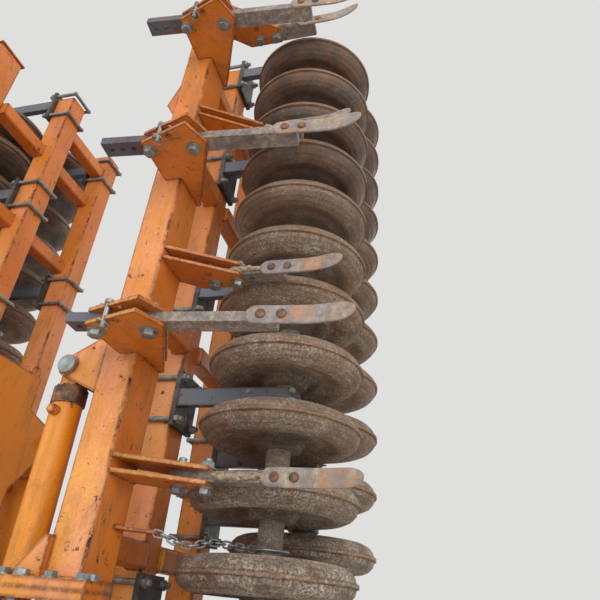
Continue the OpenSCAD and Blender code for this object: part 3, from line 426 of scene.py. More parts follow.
def rubber():
    n = Nodes("tyre_rubber")
    colour = n.blend(n.ramp(n.noise(14, 6), 0.42, 0.7), (0.024, 0.023, 0.022), (0.062, 0.054, 0.046))
    return n.finish(colour, n.ramp(n.noise(30, 4), 0.3, 0.7, (0.65, 0.9)), n.noise(160, 4), 0.3, 0.001)


def chrome():
    n = Nodes("chrome_rod")
    film = n.ramp(n.noise(24, 7, 0.7), 0.5, 0.7)
    colour = n.blend(film, (0.78, 0.79, 0.80), (0.42, 0.38, 0.33))
    return n.finish(colour, n.ramp(film, 0, 1, (0.1, 0.4)), n.noise(200, 2), 0.05, 0.0005, 0.95)


def soil():
    n = Nodes("dried_soil")
    colour = n.blend(n.ramp(n.noise(60, 8, 0.75), 0.38, 0.60), (0.20, 0.14, 0.09), (0.46, 0.37, 0.26))
    return n.finish(colour, n.ramp(n.noise(20, 4), 0.3, 0.7, (0.85, 1.0)), n.noise(90, 8, 0.7), 0.9, 0.004)


def plain_floor():
    n = Nodes("floor")
    n.shader.inputs["Specular IOR Level"].default_value = 0.1
    colour = n.blend(n.ramp(n.noise(0.6, 3), 0.3, 0.7), (0.66, 0.65, 0.63), (0.70, 0.69, 0.67))
    return n.finish(colour, n.ramp(n.noise(8, 3), 0.3, 0.7, (0.7, 0.8)), n.noise(60, 3), 0.05, 0.001)


# One material for each of the record's slots
MATERIALS = {
    "orange_paint": old_paint("orange_paint", ORANGE, BLEACHED_AND_SHEEN, 0.60),
    "yellow_paint": old_paint(
        "yellow_paint", (0.66, 0.215, 0.008), (0.76, 0.31, 0.06), 0.63, front_sheen_share=0.5),
    "grey_paint": old_paint(
        "grey_paint", (0.10, 0.125, 0.16), (0.15, 0.165, 0.19), 0.60,
        grime=ARM_GRIME, front_sheen_share=0.6, yellowing=0.9),
    "bare_steel": bare_metal("bare_steel", (0.42, 0.42, 0.41), (0.24, 0.22, 0.20), 0.54, (0.35, 0.6)),
    "plated_steel": bare_metal(
        "plated_steel", (0.36, 0.40, 0.385), (0.22, 0.235, 0.225), 0.57, (0.4, 0.65)),
    "worn_steel": dusty_bar("worn_steel", (0.24, 0.225, 0.25), (0.40, 0.19, 0.08), 0.2, 0.3, 0.36, 0.48),
    "muddy_iron": muddy_iron("muddy_iron", CENTRE_Y),
    "tyre_rubber": rubber(),
    "chrome_rod": chrome(),
}

# Closer looks for some nodes and fittings
POST_PAINT = old_paint("post_paint", ORANGE, BLEACHED_AND_SHEEN, 0.595, corner_wear=True)
DUSTY_TINE = dusty_bar("dusty_tine", (0.135, 0.135, 0.165), (0.20, 0.085, 0.040), 0.74, 0.90, 0.30, 0.53)
GALVANISED = bare_metal("galvanised", (0.50, 0.56, 0.56), (0.33, 0.37, 0.37), 0.62, (0.35, 0.55))
RUSTY_BOLT = bare_metal(
    "rusty_bolt", (0.17, 0.125, 0.11), (0.09, 0.055, 0.04), 0.47, (0.5, 0.8), (0.34, 0.15, 0.06))
REAR_IRON = muddy_iron("rear_muddy_iron", CENTRE_Y + GANG_GAP)
SOIL = soil()
CLOSER_LOOKS = {
    "main_beam": POST_PAINT,
    "wing_frame": POST_PAINT,
    "front_tines": DUSTY_TINE,
    "rear_tines": DUSTY_TINE,
    "clamps": dirty_clamp(),
    "rear_rings": REAR_IRON,
    "rear_tube": REAR_IRON,
}


def paint_cad_nodes():
    for entry in frame["record"]["subparts"]:
        node = frame["nodes"][entry["node"]]
        kind = entry["node"].removesuffix("_left").removesuffix("_right")
        node.data.materials.clear()
        node.data.materials.append(CLOSER_LOOKS.get(kind, MATERIALS[entry["material_slot"]]))


# Building blocks for the small fittings

UP, DOWN = (0, 0, 1), (0, 0, -1)
FRONT, REAR = (0, -1, 0), (0, 1, 0)


def mirrored(s, point):
    """A point given for the left side and the front gang's Y, moved into the row frame on side s."""
    x, y, z = point
    return Vector((s * x, y + CENTRE_Y, z))


def add_piece(name, bm, slot, body, smooth=False, material=None):
    bmesh.ops.recalc_face_normals(bm, faces=bm.faces)
    mesh = bpy.data.meshes.new(name)
    bm.to_mesh(mesh)
    bm.free()
    mesh.materials.append(material or MATERIALS[slot])
    for face in mesh.polygons:
        face.use_smooth = smooth
    piece = bpy.data.objects.new(name, mesh)
    bpy.context.collection.objects.link(piece)
    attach(piece, body)
    return piece


def circle(centre, first, second, radius, sides, turn=0.0):
    """Points round a centre, in the plane of two unit directions."""
    angles = [turn + 2 * math.pi * i / sides for i in range(sides)]
    return [centre + radius * (math.cos(a) * first + math.sin(a) * second) for a in angles]


def ring_of(centre, axis, radius, sides, turn=0.0):
    """Points of a regular polygon round an axis."""
    axis = Vector(axis).normalized()
    first = axis.orthogonal().normalized()
    return circle(centre, first, axis.cross(first), radius, sides, turn)


def skin(bm, rings, closed=False):
    """Skins a row of point rings. The two ends are covered, or in a closed row joined to each other."""
    loops = [[bm.verts.new(point) for point in ring] for ring in rings]
    pairs = list(zip(loops, loops[1:]))
    if closed:
        pairs.append((loops[-1], loops[0]))
    for low, high in pairs:
        for i in range(len(low)):
            j = (i + 1) % len(low)
            bm.faces.new((low[i], low[j], high[j], high[i]))
    if not closed:
        bm.faces.new(loops[0])
        bm.faces.new(loops[-1])


def turned(bm, base, axis, profile, sides=24):
    """A turned form: profile is pairs of distance along the axis and radius."""
    axis = Vector(axis).normalized()
    skin(bm, [ring_of(base + axis * d, axis, r, sides) for d, r in profile])


def add_bolt(bm, base, axis, size):
    """Hex head on a washer. size is the thread's diameter."""
    axis = Vector(axis).normalized()
    rise = 0.2 * size
    turned(bm, base, axis, [(-0.001, size), (0.16 * size, size), (rise, size * 0.94)], 20)
    head, top = size * 0.87, 0.62 * size
    profile = ((-0.001, head), (top * 0.85, head), (top, head * 0.86))
    turn = random.random()
    skin(bm, [ring_of(base + axis * (rise + d), axis, r, 6, turn) for d, r in profile])


def add_nut(bm, base, axis, size, stud=0.9):
    """Nut with the end of its thread standing out by the share stud of its size."""
    add_bolt(bm, base, axis, size)
    axis = Vector(axis).normalized()
    end = stud * size
    thread = [(0, size / 2), (end, size / 2), (end + 0.002, size * 0.4)]
    turned(bm, base + axis * size * 0.8, axis, thread, 12)


def add_weld(bm, s, start, end, size=0.006):
    """A rippled bead between two points of the left side, half sunk in the corner."""
    start, end = mirrored(s, start), mirrored(s, end)
    along = end - start
    steps = max(4, min(46, int(along.length / 0.007)))
    rings = []
    for i in range(steps + 1):
        ripple = 1.16 if i % 2 else 0.92
        taper = 0.5 if i in (0, steps) else 1
        rings.append(ring_of(start + along * i / steps, along, size * ripple * taper, 6))
    skin(bm, rings)


def add_upright_weld(bm, s, x, y, z0, z1):
    add_weld(bm, s, (x, y, z0), (x, y, z1))


def add_end_welds(bm, s, x0, x1, z0, z1, y):
    """Welds round the end of a box tube that meets a face at y."""
    corners = [(x0, y, z0), (x1, y, z0), (x1, y, z1), (x0, y, z1)]
    for start, end in zip(corners, corners[1:] + corners[:1]):
        add_weld(bm, s, start, end)


NIPPLE = [(-0.002, 0.006), (0.006, 0.006), (0.007, 0.0035), (0.014, 0.0035), (0.016, 0.0045), (0.02, 0.002)]


def add_nipple(bm, base, axis):
    turned(bm, base, axis, NIPPLE, 10)


def add_hoop(bm, centre, axis, radius, wire, turns=28, sides=8):
    """A closed ring of round wire."""
    spokes = [p - centre for p in ring_of(centre, axis, 1.0, turns)]
    axis = axis.normalized()
    skin(bm, [circle(centre + p * radius, p, axis, wire, sides) for p in spokes], closed=True)


def add_clump(bm, centre, size):
    """A rough lump, with every point pushed a little at random."""
    rings = []
    for level, width in ((-0.3, 0.9), (0.1, 1.0), (0.4, 0.75), (0.6, 0.3)):
        ring = ring_of(centre + Vector((0, 0, size * level)), UP, size * width, 9)
        rings.append([p + Vector([random.uniform(-0.18, 0.18) * size for _ in range(3)]) for p in ring])
    skin(bm, rings)


# Welds, bolts and bearings of a wing

FLANGE_BOLTS = ((0.512, -0.572), (0.565, -0.572), (0.65, -0.572), (0.742, -0.572), (0.742, -0.53))
FLANGE_BOLT, SMALL_BOLT = 0.020, 0.012
FLANGE_WELD, PLATE_WELD = 0.007, 0.005
TOP_PLATE_T = 0.01
HINGE_NIPPLE_RISE = 0.0615

# On the arms' bearings, from the gang's axis
BEARING_FACE = 0.0801
BEARING_BOLTS_X, BEARING_BOLTS_Z = (-0.1148, 0.0548), (-0.018, 0.018)
BEARING_NIPPLE_X = 0.064


def add_plate_weld(bm, s, z):
    """On the main beam's outer face, along the edge of a tine plate."""
    add_weld(bm, s, (MAIN_X1, MAIN_Y0 + CORNER, z), (MAIN_X1, MAIN_Y1, z), PLATE_WELD)


def wing_welds(side, s):
    bm = bmesh.new()

    # Cross tubes
    for z in CROSS_Z:
        low, high = z - CROSS_W / 2, z + CROSS_W / 2
        add_end_welds(bm, s, MAIN_X0 + CORNER, CROSS_X0 + CROSS_W, low, high, MAIN_Y1)
        for y in (-BEAM_W / 2, BEAM_W / 2, GANG_GAP - BEAM_W / 2):
            add_end_welds(bm, s, CROSS_X0, GBEAM_X1, low, high, y)

    # Hinge lugs, with the reach of each below and above its pin
    for x, y, below, above in ((MAIN_X0, HINGE_Y[0], 0.105, 0.125), (GBEAM_X0, HINGE_Y[1], 0.068, 0.068)):
        for e in (-1, 1):
            add_upright_weld(bm, s, x, y + e * LUG_T / 2, HINGE_Z - below, HINGE_Z + above)

    # Flange
    for z in (FLANGE_Z + FLANGE_T, FLANGE_Z - FLANGE_T):
        corners = [
            (MAIN_X0 + CORNER, MAIN_Y0, z),
            (MAIN_X1 - CORNER, MAIN_Y0, z),
            (MAIN_X1, MAIN_Y0 + CORNER, z),
            (MAIN_X1, MAIN_Y0 + 0.03, z),
        ]
        for start, end in zip(corners, corners[1:]):
            add_weld(bm, s, start, end, FLANGE_WELD)

    # Tine plates: the front ones wrap the beam's corner
    for z in FRONT_TINES_Z:
        for e in (-1, 1):
            for half in (TINE_HALF, TINE_HALF - PLATE_T):
                edge = z + e * half
                start = (MAIN_X0 + 0.056, MAIN_Y0, edge)
                end = (MAIN_X1 - CORNER, MAIN_Y0, edge)
                add_weld(bm, s, start, end, PLATE_WELD)
                add_plate_weld(bm, s, edge)
    for z in REAR_TINES_Z:
        for e in (-1, 1):
            add_plate_weld(bm, s, z + e * TINE_HALF)

    # Ears of the fold ram
    for e in (-1, 1):
        add_upright_weld(bm, s, MAIN_X0, RAM_Y + e * EAR_MIDDLE, RAM_PIN[1] - 0.088, RAM_PIN[1] + 0.108)
    add_piece(f"wing_welds_{side}", bm, "orange_paint", f"wing_{side}", True)


def wing_bolts(side, s):
    """Bolts through the main beam's flange, and on the plate that covers its top."""
    bm = bmesh.new()
    for x, y in FLANGE_BOLTS:
        add_bolt(bm, mirrored(s, (x, y, FLANGE_Z + FLANGE_T)), UP, FLANGE_BOLT)
        add_nut(bm, mirrored(s, (x, y, FLANGE_Z - FLANGE_T)), DOWN, FLANGE_BOLT)
    for x in (MAIN_X0 + 0.02, MAIN_X1 - 0.02):
        for y in (MAIN_Y0 + 0.02, MAIN_Y1 - 0.02):
            add_bolt(bm, mirrored(s, (x, y, MAIN_TOP + TOP_PLATE_T)), UP, SMALL_BOLT)
    add_piece(f"flange_bolts_{side}", bm, "plated_steel", f"wing_{side}")


def bearing_fittings(side, s):
    """Bolts and grease nipples on the bearings of the gang arms."""
    bm = bmesh.new()
    for y, z0, gaps in ((0.0, FIRST_Z, FRONT_ARM_GAPS), (GANG_GAP, FAR_Z, REAR_ARM_GAPS)):
        for gap in gaps:
            z = z0 + RING_PITCH * (gap + 0.5)
            for dz in BEARING_BOLTS_Z:
                for dx in BEARING_BOLTS_X:
                    at = mirrored(s, (GANG_X + dx, y - BEARING_FACE, z + dz))
                    add_bolt(bm, at, FRONT, SMALL_BOLT)
            add_nipple(bm, mirrored(s, (GANG_X + BEARING_NIPPLE_X, y, z)), (s, 0, 0))
    add_piece(f"bearing_fittings_{side}", bm, "plated_steel", f"wing_{side}")


def hinge_fittings(side, s):
    bm = bmesh.new()
    for y in HINGE_Y:
        add_nipple(bm, mirrored(s, (HINGE_X, y, HINGE_Z + HINGE_NIPPLE_RISE)), UP)
    add_piece(f"hinge_nipples_{side}", bm, "plated_steel", f"wing_{side}")


# Rams. EAR_MIDDLE and EAR_FACE are to each side of a fold ram's middle.

EAR_MIDDLE, EAR_FACE = 0.037, 0.0432
FOLD_GLAND = [(0, 0.044), (0.008, 0.044), (0.012, 0.04), (0.012, 0.0262), (0.002, 0.0262)]
FOLD_PORT = [(0, 0.016), (0.022, 0.016), (0.022, 0.013), (0.03, 0.013)]
FOLD_PORTS_AT = (0.15, 0.63)
FRONT_PIN_HEAD = [(0, 0.0306), (0.016, 0.0306), (0.0185, 0.0285), (0.0188, 0.004)]
REAR_PIN_HEAD = [(0, 0.0225), (0.0102, 0.0225), (0.0115, 0.020), (0.0117, 0.003)]
LIFT_GLAND = [(0, 0.052), (0.01, 0.052), (0.014, 0.046), (0.014, 0.0325), (0.002, 0.0325)]
LIFT_PORT = [(0, 0.018), (0.024, 0.018), (0.024, 0.014), (0.034, 0.014)]
LIFT_PORTS_AT = (0.16, 0.6)


def add_ports(bm, pin, down, out, radius, port, places):
    """Hose ports on the side of a barrel, at distances from its pin."""
    for d in places:
        turned(bm, pin + down * d + out * (radius - 0.004), out, port, 20)


def ram_fittings(side, s):
    """Ports, gland and steel collar of a fold ram."""
    lean = math.atan2(RAM_EYE[0] - RAM_PIN[0], RAM_PIN[1] - RAM_EYE[1])
    down = Vector((s * math.sin(lean), 0, -math.cos(lean)))
    pin = mirrored(s, (RAM_PIN[0], RAM_Y, RAM_PIN[1]))
    bm = bmesh.new()
    turned(bm, pin + down * (BARREL_LEN - 0.001), down, FOLD_GLAND, 32)
    add_ports(bm, pin, down, Vector(FRONT), BARREL_R, FOLD_PORT, FOLD_PORTS_AT)
    add_piece(f"fold_ram_ports_{side}", bm, "yellow_paint", f"fold_barrel_{side}")

    bm = bmesh.new()
    collar = BARREL_R + 0.0054
    profile = [(0.0665, collar - 0.003), (0.068, collar), (0.117, collar), (0.1195, collar - 0.003)]
    turned(bm, pin, down, profile, 48)
    add_piece(f"fold_ram_collar_{side}", bm, "bare_steel", f"fold_barrel_{side}", True, RUSTY_BOLT)


def pin_heads(side, s):
    """Zinc heads of the fold ram's upper pin, on both ears."""
    bm = bmesh.new()
    x, z = RAM_PIN
    turned(bm, mirrored(s, (x, RAM_Y - EAR_FACE, z)), FRONT, FRONT_PIN_HEAD, 32)
    turned(bm, mirrored(s, (x, RAM_Y + EAR_FACE, z)), REAR, REAR_PIN_HEAD, 32)
    add_piece(f"ram_pin_heads_{side}", bm, "plated_steel", f"wing_{side}", True)


def lift_ram_fittings():
    """Ports and gland of the axle's ram."""
    lean = math.atan2(LIFT_EYE[0] - LIFT_PIN[0], LIFT_PIN[1] - LIFT_EYE[1])
    down = Vector((0, math.sin(lean), -math.cos(lean)))
    front = Vector((0, -math.cos(lean), -math.sin(lean)))
    pin = mirrored(1, (0, LIFT_PIN[0], LIFT_PIN[1]))
    bm = bmesh.new()
    turned(bm, pin + down * (LIFT_LEN - 0.001), down, LIFT_GLAND, 32)
    add_ports(bm, pin, down, front, LIFT_R, LIFT_PORT, LIFT_PORTS_AT)
    add_piece("lift_ram_ports", bm, "yellow_paint", "lift_barrel")


# Bolts and linch pins of the tines

TINE_BOLT = 0.0259
FRONT_TINE_BOLTS = ((0.663, -0.687), (0.823, -0.673))
REAR_TINE_BOLTS_X = (0.923, 0.839)
LINCH_PIN_AT = (0.719, -0.739)
LINCH_PIN = [(0, 0.005), (0.004, 0.008), (0.075, 0.008), (0.078, 0.013), (0.088, 0.013), (0.091, 0.009)]
HOOP_R, HOOP_WIRE = 0.021, 0.002


def tine_fasteners(side, s):
    """Bolt heads and nuts on the tine plates, and a linch pin in each front pair's inner hole."""
    bm = bmesh.new()
    places = [(x, y, z) for x, y in FRONT_TINE_BOLTS for z in FRONT_TINES_Z]
    places += [(x, REAR_TINE_Y, z) for x in REAR_TINE_BOLTS_X for z in REAR_TINES_Z]
    for x, y, z in places:
        add_nut(bm, mirrored(s, (x, y, z + TINE_HALF)), UP, TINE_BOLT, 0.35)
        add_bolt(bm, mirrored(s, (x, y, z - TINE_HALF)), DOWN, TINE_BOLT)
    for z in FRONT_TINES_Z:
        low = mirrored(s, (*LINCH_PIN_AT, z - TINE_HALF - 0.022))
        turned(bm, low, UP, LINCH_PIN, 16)
        add_hoop(bm, low + Vector((0, 0, 0.012)), Vector((0.35 * s, 0.2, 1)), HOOP_R, HOOP_WIRE)
    add_piece(f"tine_fasteners_{side}", bm, "plated_steel", f"wing_{side}")


# Lock chain, on the same way as the part's, but of round wire

def seat_back(half):
    """How far a link's round end stands back from the corners of a bar this thick to each side."""
    return LINK_GAP / 2 - math.sqrt((LINK_GAP / 2) ** 2 - half * half)


LINK_SLACK = 2 * seat_back(CHAIN_WIRE / 2) + LINK_PLAY
IN_LUG_HOLE = math.sqrt(LUG_HOLE_R ** 2 - (CHAIN_WIRE / 2) ** 2)
CHAIN_START = IN_LUG_HOLE - seat_back(CHAIN_LUG_T / 2) - 2 * SEAT_GAP + LINK_SLACK / 2
CHAIN_PAST = HOOK_WIRE / 2 + seat_back(HOOK_WIRE / 2) + 3 * SEAT_GAP - LINK_SLACK / 2
DIP_AT, DIP_END = 0.3, 0.57
HOOK_FROM, HOOK_TURN = 92, 266
WIRE_SIDES = 10


def chain_drop(u):
    """The chain's sag: most at DIP_AT of its way, and none from DIP_END on."""
    if u < DIP_AT:
        return CHAIN_DIP * (1 - math.cos(math.pi * u / DIP_AT)) / 2
    return CHAIN_DIP * (1 + math.cos(math.pi * min(1, (u - DIP_AT) / (DIP_END - DIP_AT)))) / 2


def chain_at(u):
    """A point of the chain for the left side, where u is the share of its way."""
    run = CHAIN_TO - CHAIN_FROM
    way = CHAIN_START + u * (run.length + CHAIN_PAST - CHAIN_START)
    at = CHAIN_FROM + run * way / run.length
    return Vector((at.x, at.y, CHAIN_Z - chain_drop(u)))


def add_link(bm, start, end, upright):
    """A link of round wire between two points on the chain's way."""
    along = (end - start).normalized()
    level = along.cross(Vector(UP)).normalized()
    across = along.cross(level).normalized() if upright else level
    out = along.cross(across)
    straight = ((end - start).length + LINK_SLACK - LINK_GAP) / 2
    radius = (LINK_GAP + CHAIN_WIRE) / 2
    middle = (start + end) / 2
    rings = []
    for e in (1, -1):
        for k in range(9):
            a = math.pi * (k / 8 - 0.5)
            spoke = e * (along * math.cos(a) + across * math.sin(a))
            centre = middle + e * along * straight + spoke * radius
            rings.append(circle(centre, spoke, out, CHAIN_WIRE / 2, WIRE_SIDES))
    skin(bm, rings, closed=True)


def add_hook(bm, s):
    """The open hook round the gang's tube, of round bar."""
    centre = mirrored(s, (GANG_X, 0, CHAIN_Z))
    rings = []
    for k in range(37):
        a = math.radians(HOOK_FROM + HOOK_TURN * k / 36)
        spoke = Vector((s * math.cos(a), math.sin(a), 0))
        rings.append(circle(centre + spoke * HOOK_R, spoke, Vector(UP), HOOK_WIRE / 2, WIRE_SIDES))
    skin(bm, rings)


def round_chain(side, s):
    bm = bmesh.new()
    for i in range(LINK_COUNT):
        start, end = (mirrored(s, chain_at((i + k) / LINK_COUNT)) for k in (0, 1))
        add_link(bm, start, end, i % 2 == 0)
    add_hook(bm, s)
    piece = add_piece(f"round_chain_{side}", bm, "plated_steel", f"wing_{side}", True, GALVANISED)
    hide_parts(f"lock_chain_{side}")


# Soil and mud

def soil_clumps(side, s):
    """Dried soil caught on the tine plates."""
    bm = bmesh.new()
    for z in FRONT_TINES_Z:
        for _ in range(5):
            x = random.uniform(MAIN_X1 - 0.02, MAIN_X1 + 0.11)
            y = random.uniform(MAIN_Y0 - 0.17, MAIN_Y0 - 0.04)
            add_clump(bm, mirrored(s, (x, y, z + TINE_HALF)), random.uniform(0.006, 0.016))
    for z in REAR_TINES_Z:
        for _ in range(4):
            x = random.uniform(MAIN_X1 + 0.03, MAIN_X1 + 0.20)
            y = random.uniform(-0.41, -0.36)
            add_clump(bm, mirrored(s, (x, y, z + TINE_HALF)), random.uniform(0.005, 0.013))
    add_piece(f"soil_clumps_{side}", bm, "muddy_iron", f"wing_{side}", True, SOIL)


def mud_cakes(side, s):
    """Cakes of pale mud and chaff, dried on between each rear tine and its share."""
    bm = bmesh.new()
    y = REAR_TINE_Y - TINE_W / 2 - 0.002
    for z, tip in zip(REAR_TINES_Z, REAR_TIPS):
        for i in range(9):
            x = GANG_X + tip - SHARE_LEN - 0.01 - 0.016 * i
            size = 0.011 + 0.010 * math.sin(math.pi * (i + 1) / 10)
            at = mirrored(s, (x, y, z + random.uniform(-0.008, 0.004)))
            add_clump(bm, at, size * random.uniform(0.8, 1.2))
    add_piece(f"mud_cakes_{side}", bm, "muddy_iron", f"wing_{side}", True, SOIL)


# Shares: forged, curled forward and worn round at the nose. Their X counts from the gang's
# axis along the tine, and their Y from the tine's middle.

NOSE_LEN = 0.062
SHARE_BOLT = [(0, 0.0145), (0.003, 0.0145), (0.006, 0.0125), (0.0075, 0.008), (0.0078, 0.002)]
SHARE_BOLTS_AT = (0.042, 0.100)


def at_front_tine(x, y, z):
    turn = Matrix.Rotation(FRONT_RAKE, 2)
    flat = turn @ Vector((x - FRONT_TINE_X, y))
    return (GANG_X + FRONT_TINE_X + flat.x, FRONT_TINE_Y + flat.y, z)


def at_rear_tine(x, y, z):
    return (GANG_X + x, REAR_TINE_Y + y, z)


def share_half_width(x, tip):
    """Half a circle at the root, straight sides, then a blunt nose."""
    from_root = x - (tip - SHARE_LEN)
    if from_root < SHARE_W / 2:
        return math.sqrt((SHARE_W / 2) ** 2 - (SHARE_W / 2 - from_root) ** 2)
    nose = max(0.0, (x - tip + NOSE_LEN) / NOSE_LEN)
    return SHARE_W / 2 * math.sqrt(max(0.0, 1 - nose ** 2.3))


def share_back(x, tip):
    """Y of the share's back: flat on the tine, then curled forward over its outer half."""
    curl = max(0.0, (x - tip + SHARE_LEN / 2) / (SHARE_LEN / 2))
    return -TINE_W / 2 - SHARE_CURL * curl * curl


def add_share(bm, s, place, tip, z, stations=34, sides=16):
    """Sections are close together at both ends, with rounded edges, and thinner towards the nose."""
    rings = []
    for i in range(stations + 1):
        u = (1 - math.cos(math.pi * i / stations)) / 2
        x = tip - SHARE_LEN + (0.0008 + 0.9974 * u) * SHARE_LEN
        half = share_half_width(x, tip)
        thick = min(SHARE_T * (1 - 0.35 * u ** 3), 1.5 * half)
        middle = share_back(x, tip) - SHARE_T / 2
        ring = []
        for k in range(sides):
            a = 2 * math.pi * (k + 0.5) / sides
            wide, deep = math.sin(a), math.cos(a)
            across = math.copysign(abs(wide) ** 0.55, wide) * half
            out = math.copysign(abs(deep) ** 0.45, deep) * thick / 2
            ring.append(mirrored(s, place(x, middle + out, z + across)))
        rings.append(ring)
    skin(bm, rings)


def add_share_bolts(bm, s, place, tip, z):
    face = -TINE_W / 2 - SHARE_T
    for from_root in SHARE_BOLTS_AT:
        x = tip - SHARE_LEN + from_root
        top = mirrored(s, place(x, face + 0.001, z))
        out = top - mirrored(s, place(x, face + 0.101, z))
        turned(bm, top, out, SHARE_BOLT, 24)


def worn_shares(side, s):
    steel, bolts = bmesh.new(), bmesh.new()
    places = [(at_front_tine, FRONT_TIP, z) for z in FRONT_TINES_Z]
    places += [(at_rear_tine, tip, z) for tip, z in zip(REAR_TIPS, REAR_TINES_Z)]
    for place, tip, z in places:
        add_share(steel, s, place, tip, z)
        add_share_bolts(bolts, s, place, tip, z)
    piece = add_piece(f"worn_shares_{side}", steel, "worn_steel", f"wing_{side}", True)
    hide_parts(f"shares_{side}")
    add_piece(f"share_bolts_{side}", bolts, "worn_steel", f"wing_{side}", False, RUSTY_BOLT)


# Wheels

TREAD_BLOCKS, TREAD_SKEW = 22, 0.17
TREAD_X0, TREAD_W = 0.012, 0.158
TREAD_TOP, TREAD_FOOT = 0.0005, 0.022
NUT_COUNT, NUT_CIRCLE, WHEEL_NUT = 8, 0.128, 0.016
HUB_CAP = [(0, 0.052), (0.018, 0.05), (0.03, 0.042), (0.036, 0.02), (0.037, 0.004)]
VALVE = [(0, 0.005), (0.03, 0.004), (0.045, 0.005)]


def add_tread_block(bm, centre, row, middle):
    """A slanted block from the tyre's middle to its shoulder, where the tread drops away."""
    rings = []
    for t in (0.0, 0.25, 0.5, 0.75, 1.0):
        at = centre + Vector((row * (TREAD_X0 + TREAD_W * t), 0, 0))
        half = 0.030 + 0.008 * t
        drop = 0.026 * max(0, t - 0.6) / 0.4
        top = WHEEL[2] - TREAD_TOP - drop
        foot = WHEEL[2] - TREAD_FOOT - drop
        ring = []
        for turn, radius in ((-half, top), (half, top), (half, foot), (-half, foot)):
            angle = middle + TREAD_SKEW * t + turn
            ring.append(at + Vector((0, math.cos(angle), math.sin(angle))) * radius)
        rings.append(ring)
    skin(bm, rings)


def tyre_tread(side, s):
    """Slanted blocks in two rows round the tyre, half a step apart."""
    bm = bmesh.new()
    centre = mirrored(s, WHEEL)
    for row, shift in ((-1, 0), (1, 0.5)):
        for i in range(TREAD_BLOCKS):
            add_tread_block(bm, centre, row, 2 * math.pi * (i + shift) / TREAD_BLOCKS)
    add_piece(f"tyre_tread_{side}", bm, "tyre_rubber", f"wheel_{side}")


def wheel_nuts(side, s):
    """Wheel nuts, the hub's cap and the tyre's valve."""
    bm = bmesh.new()
    centre = mirrored(s, WHEEL)
    out = Vector((s, 0, 0))
    for i in range(NUT_COUNT):
        a = 2 * math.pi * i / NUT_COUNT
        at = centre + Vector((0, math.cos(a), math.sin(a))) * NUT_CIRCLE
        add_nut(bm, at + out * 0.005, out, WHEEL_NUT)
    turned(bm, centre + out * 0.06, out, HUB_CAP, 32)
    valve = centre + Vector((0, 0, RIM_R - 0.04))
    turned(bm, valve + out * 0.02, out, VALVE, 10)
    add_piece(f"wheel_nuts_{side}", bm, "plated_steel", f"wheel_{side}")


# Centre frame and drawbar

HITCH_BOLTS_X, HITCH_BOLTS_Z = (-0.062, 0.062), (0.535, 0.665)
HITCH_PLATE_Y = (-2.91, -2.87)


def centre_welds():
    bm = bmesh.new()
    front, inner = CROSS_FRONT[0], (CROSS_FRONT[1], CROSS_REAR[0])
    for s in SIDES.values():
        # Rails, on the insides of the cross beams
        for x in RAIL_X:
            for y in inner:
                add_upright_weld(bm, s, x, y, FRAME_Z0 + 0.002, FRAME_Z1)
        for y in inner:
            add_weld(bm, s, (RAIL_X[0], y, FRAME_Z1), (RAIL_X[1], y, FRAME_Z1))

        # Cheeks of the fold hinges, then the drawbar
        for y in HINGE_Y:
            for off in (-CHEEK_OFF - CHEEK_T, -CHEEK_OFF, CHEEK_OFF, CHEEK_OFF + CHEEK_T):
                add_upright_weld(bm, s, FRAME_HALF, y + off, FRAME_Z0 + 0.004, FRAME_Z1)
        add_upright_weld(bm, s, DRAW_W / 2, front, FRAME_Z0 + 0.002, FRAME_Z1)
    add_weld(bm, 1, (-DRAW_W / 2, front, FRAME_Z1), (DRAW_W / 2, front, FRAME_Z1))
    add_piece("centre_welds", bm, "orange_paint", "chassis", True)


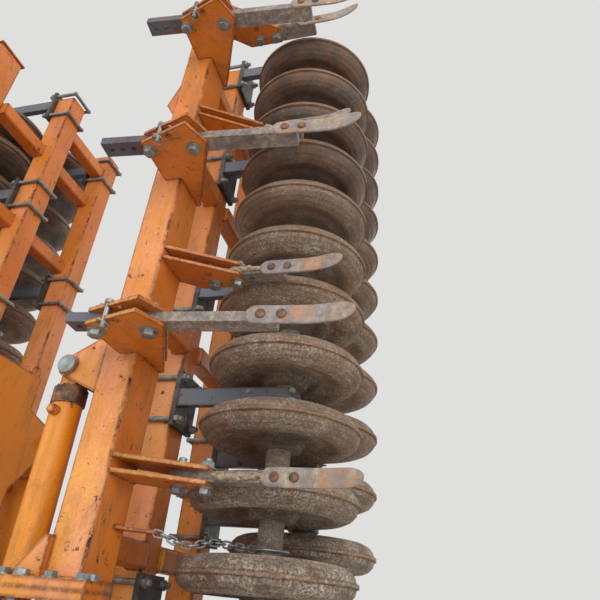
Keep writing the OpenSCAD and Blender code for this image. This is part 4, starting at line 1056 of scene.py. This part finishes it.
def hitch_bolts():
    bm = bmesh.new()
    for x in HITCH_BOLTS_X:
        for z in HITCH_BOLTS_Z:
            add_bolt(bm, mirrored(1, (x, HITCH_PLATE_Y[0], z)), FRONT, 0.020)
            add_nut(bm, mirrored(1, (x, HITCH_PLATE_Y[1], z)), REAR, 0.020)
    add_piece("hitch_bolts", bm, "plated_steel", "chassis")


# Stage. Each lamp has its place, the point that it faces, its size and its power.

LAMPS = {
    "key": ((5.5, -6.0, 6.5), (0.3, 0.5, 2.2), 5.0, 310),
    "fill": ((-6.5, -4.5, 4.6), (0.0, 0.5, 2.4), 6.0, 235),
    "low": ((4.0, -9.5, 3.3), (0.9, 0.4, 2.6), 3.0, 240),
    "top": ((0.5, 2.0, 9.0), (0.5, 0.5, 2.0), 7.0, 120),
    "back": ((2.0, 8.5, 5.8), (0.5, 0.5, 2.2), 5.0, 140),
}
SKY, SKY_STRENGTH = (0.86, 0.86, 0.85, 1), 0.86


def add_light(name, at, target, size, power):
    light = bpy.data.objects.new(name, bpy.data.lights.new(name, "AREA"))
    light.data.size = size
    light.data.energy = power
    light.location = at
    light.rotation_euler = (Vector(target) - Vector(at)).to_track_quat("-Z", "Y").to_euler()
    bpy.context.collection.objects.link(light)


def add_stage():
    mesh = bpy.data.meshes.new("floor")
    bm = bmesh.new()
    bmesh.ops.create_grid(bm, x_segments=1, y_segments=1, size=30)
    bm.to_mesh(mesh)
    bm.free()
    mesh.materials.append(plain_floor())
    floor = bpy.data.objects.new("floor", mesh)
    bpy.context.collection.objects.link(floor)

    world = bpy.data.worlds.new("studio")
    bpy.context.scene.world = world
    world.use_nodes = True
    background = world.node_tree.nodes["Background"]
    background.inputs["Color"].default_value = SKY
    background.inputs["Strength"].default_value = SKY_STRENGTH
    for name, lamp in LAMPS.items():
        add_light(name, *lamp)


add_camera()
paint_cad_nodes()
for side, s in SIDES.items():
    wing_welds(side, s)
    wing_bolts(side, s)
    bearing_fittings(side, s)
    ram_fittings(side, s)
    pin_heads(side, s)
    tine_fasteners(side, s)
    round_chain(side, s)
    hinge_fittings(side, s)
    soil_clumps(side, s)
    mud_cakes(side, s)
    worn_shares(side, s)
    tyre_tread(side, s)
    wheel_nuts(side, s)
centre_welds()
hitch_bolts()
lift_ram_fittings()
add_stage()

bpy.context.scene.view_settings.view_transform = "Standard"
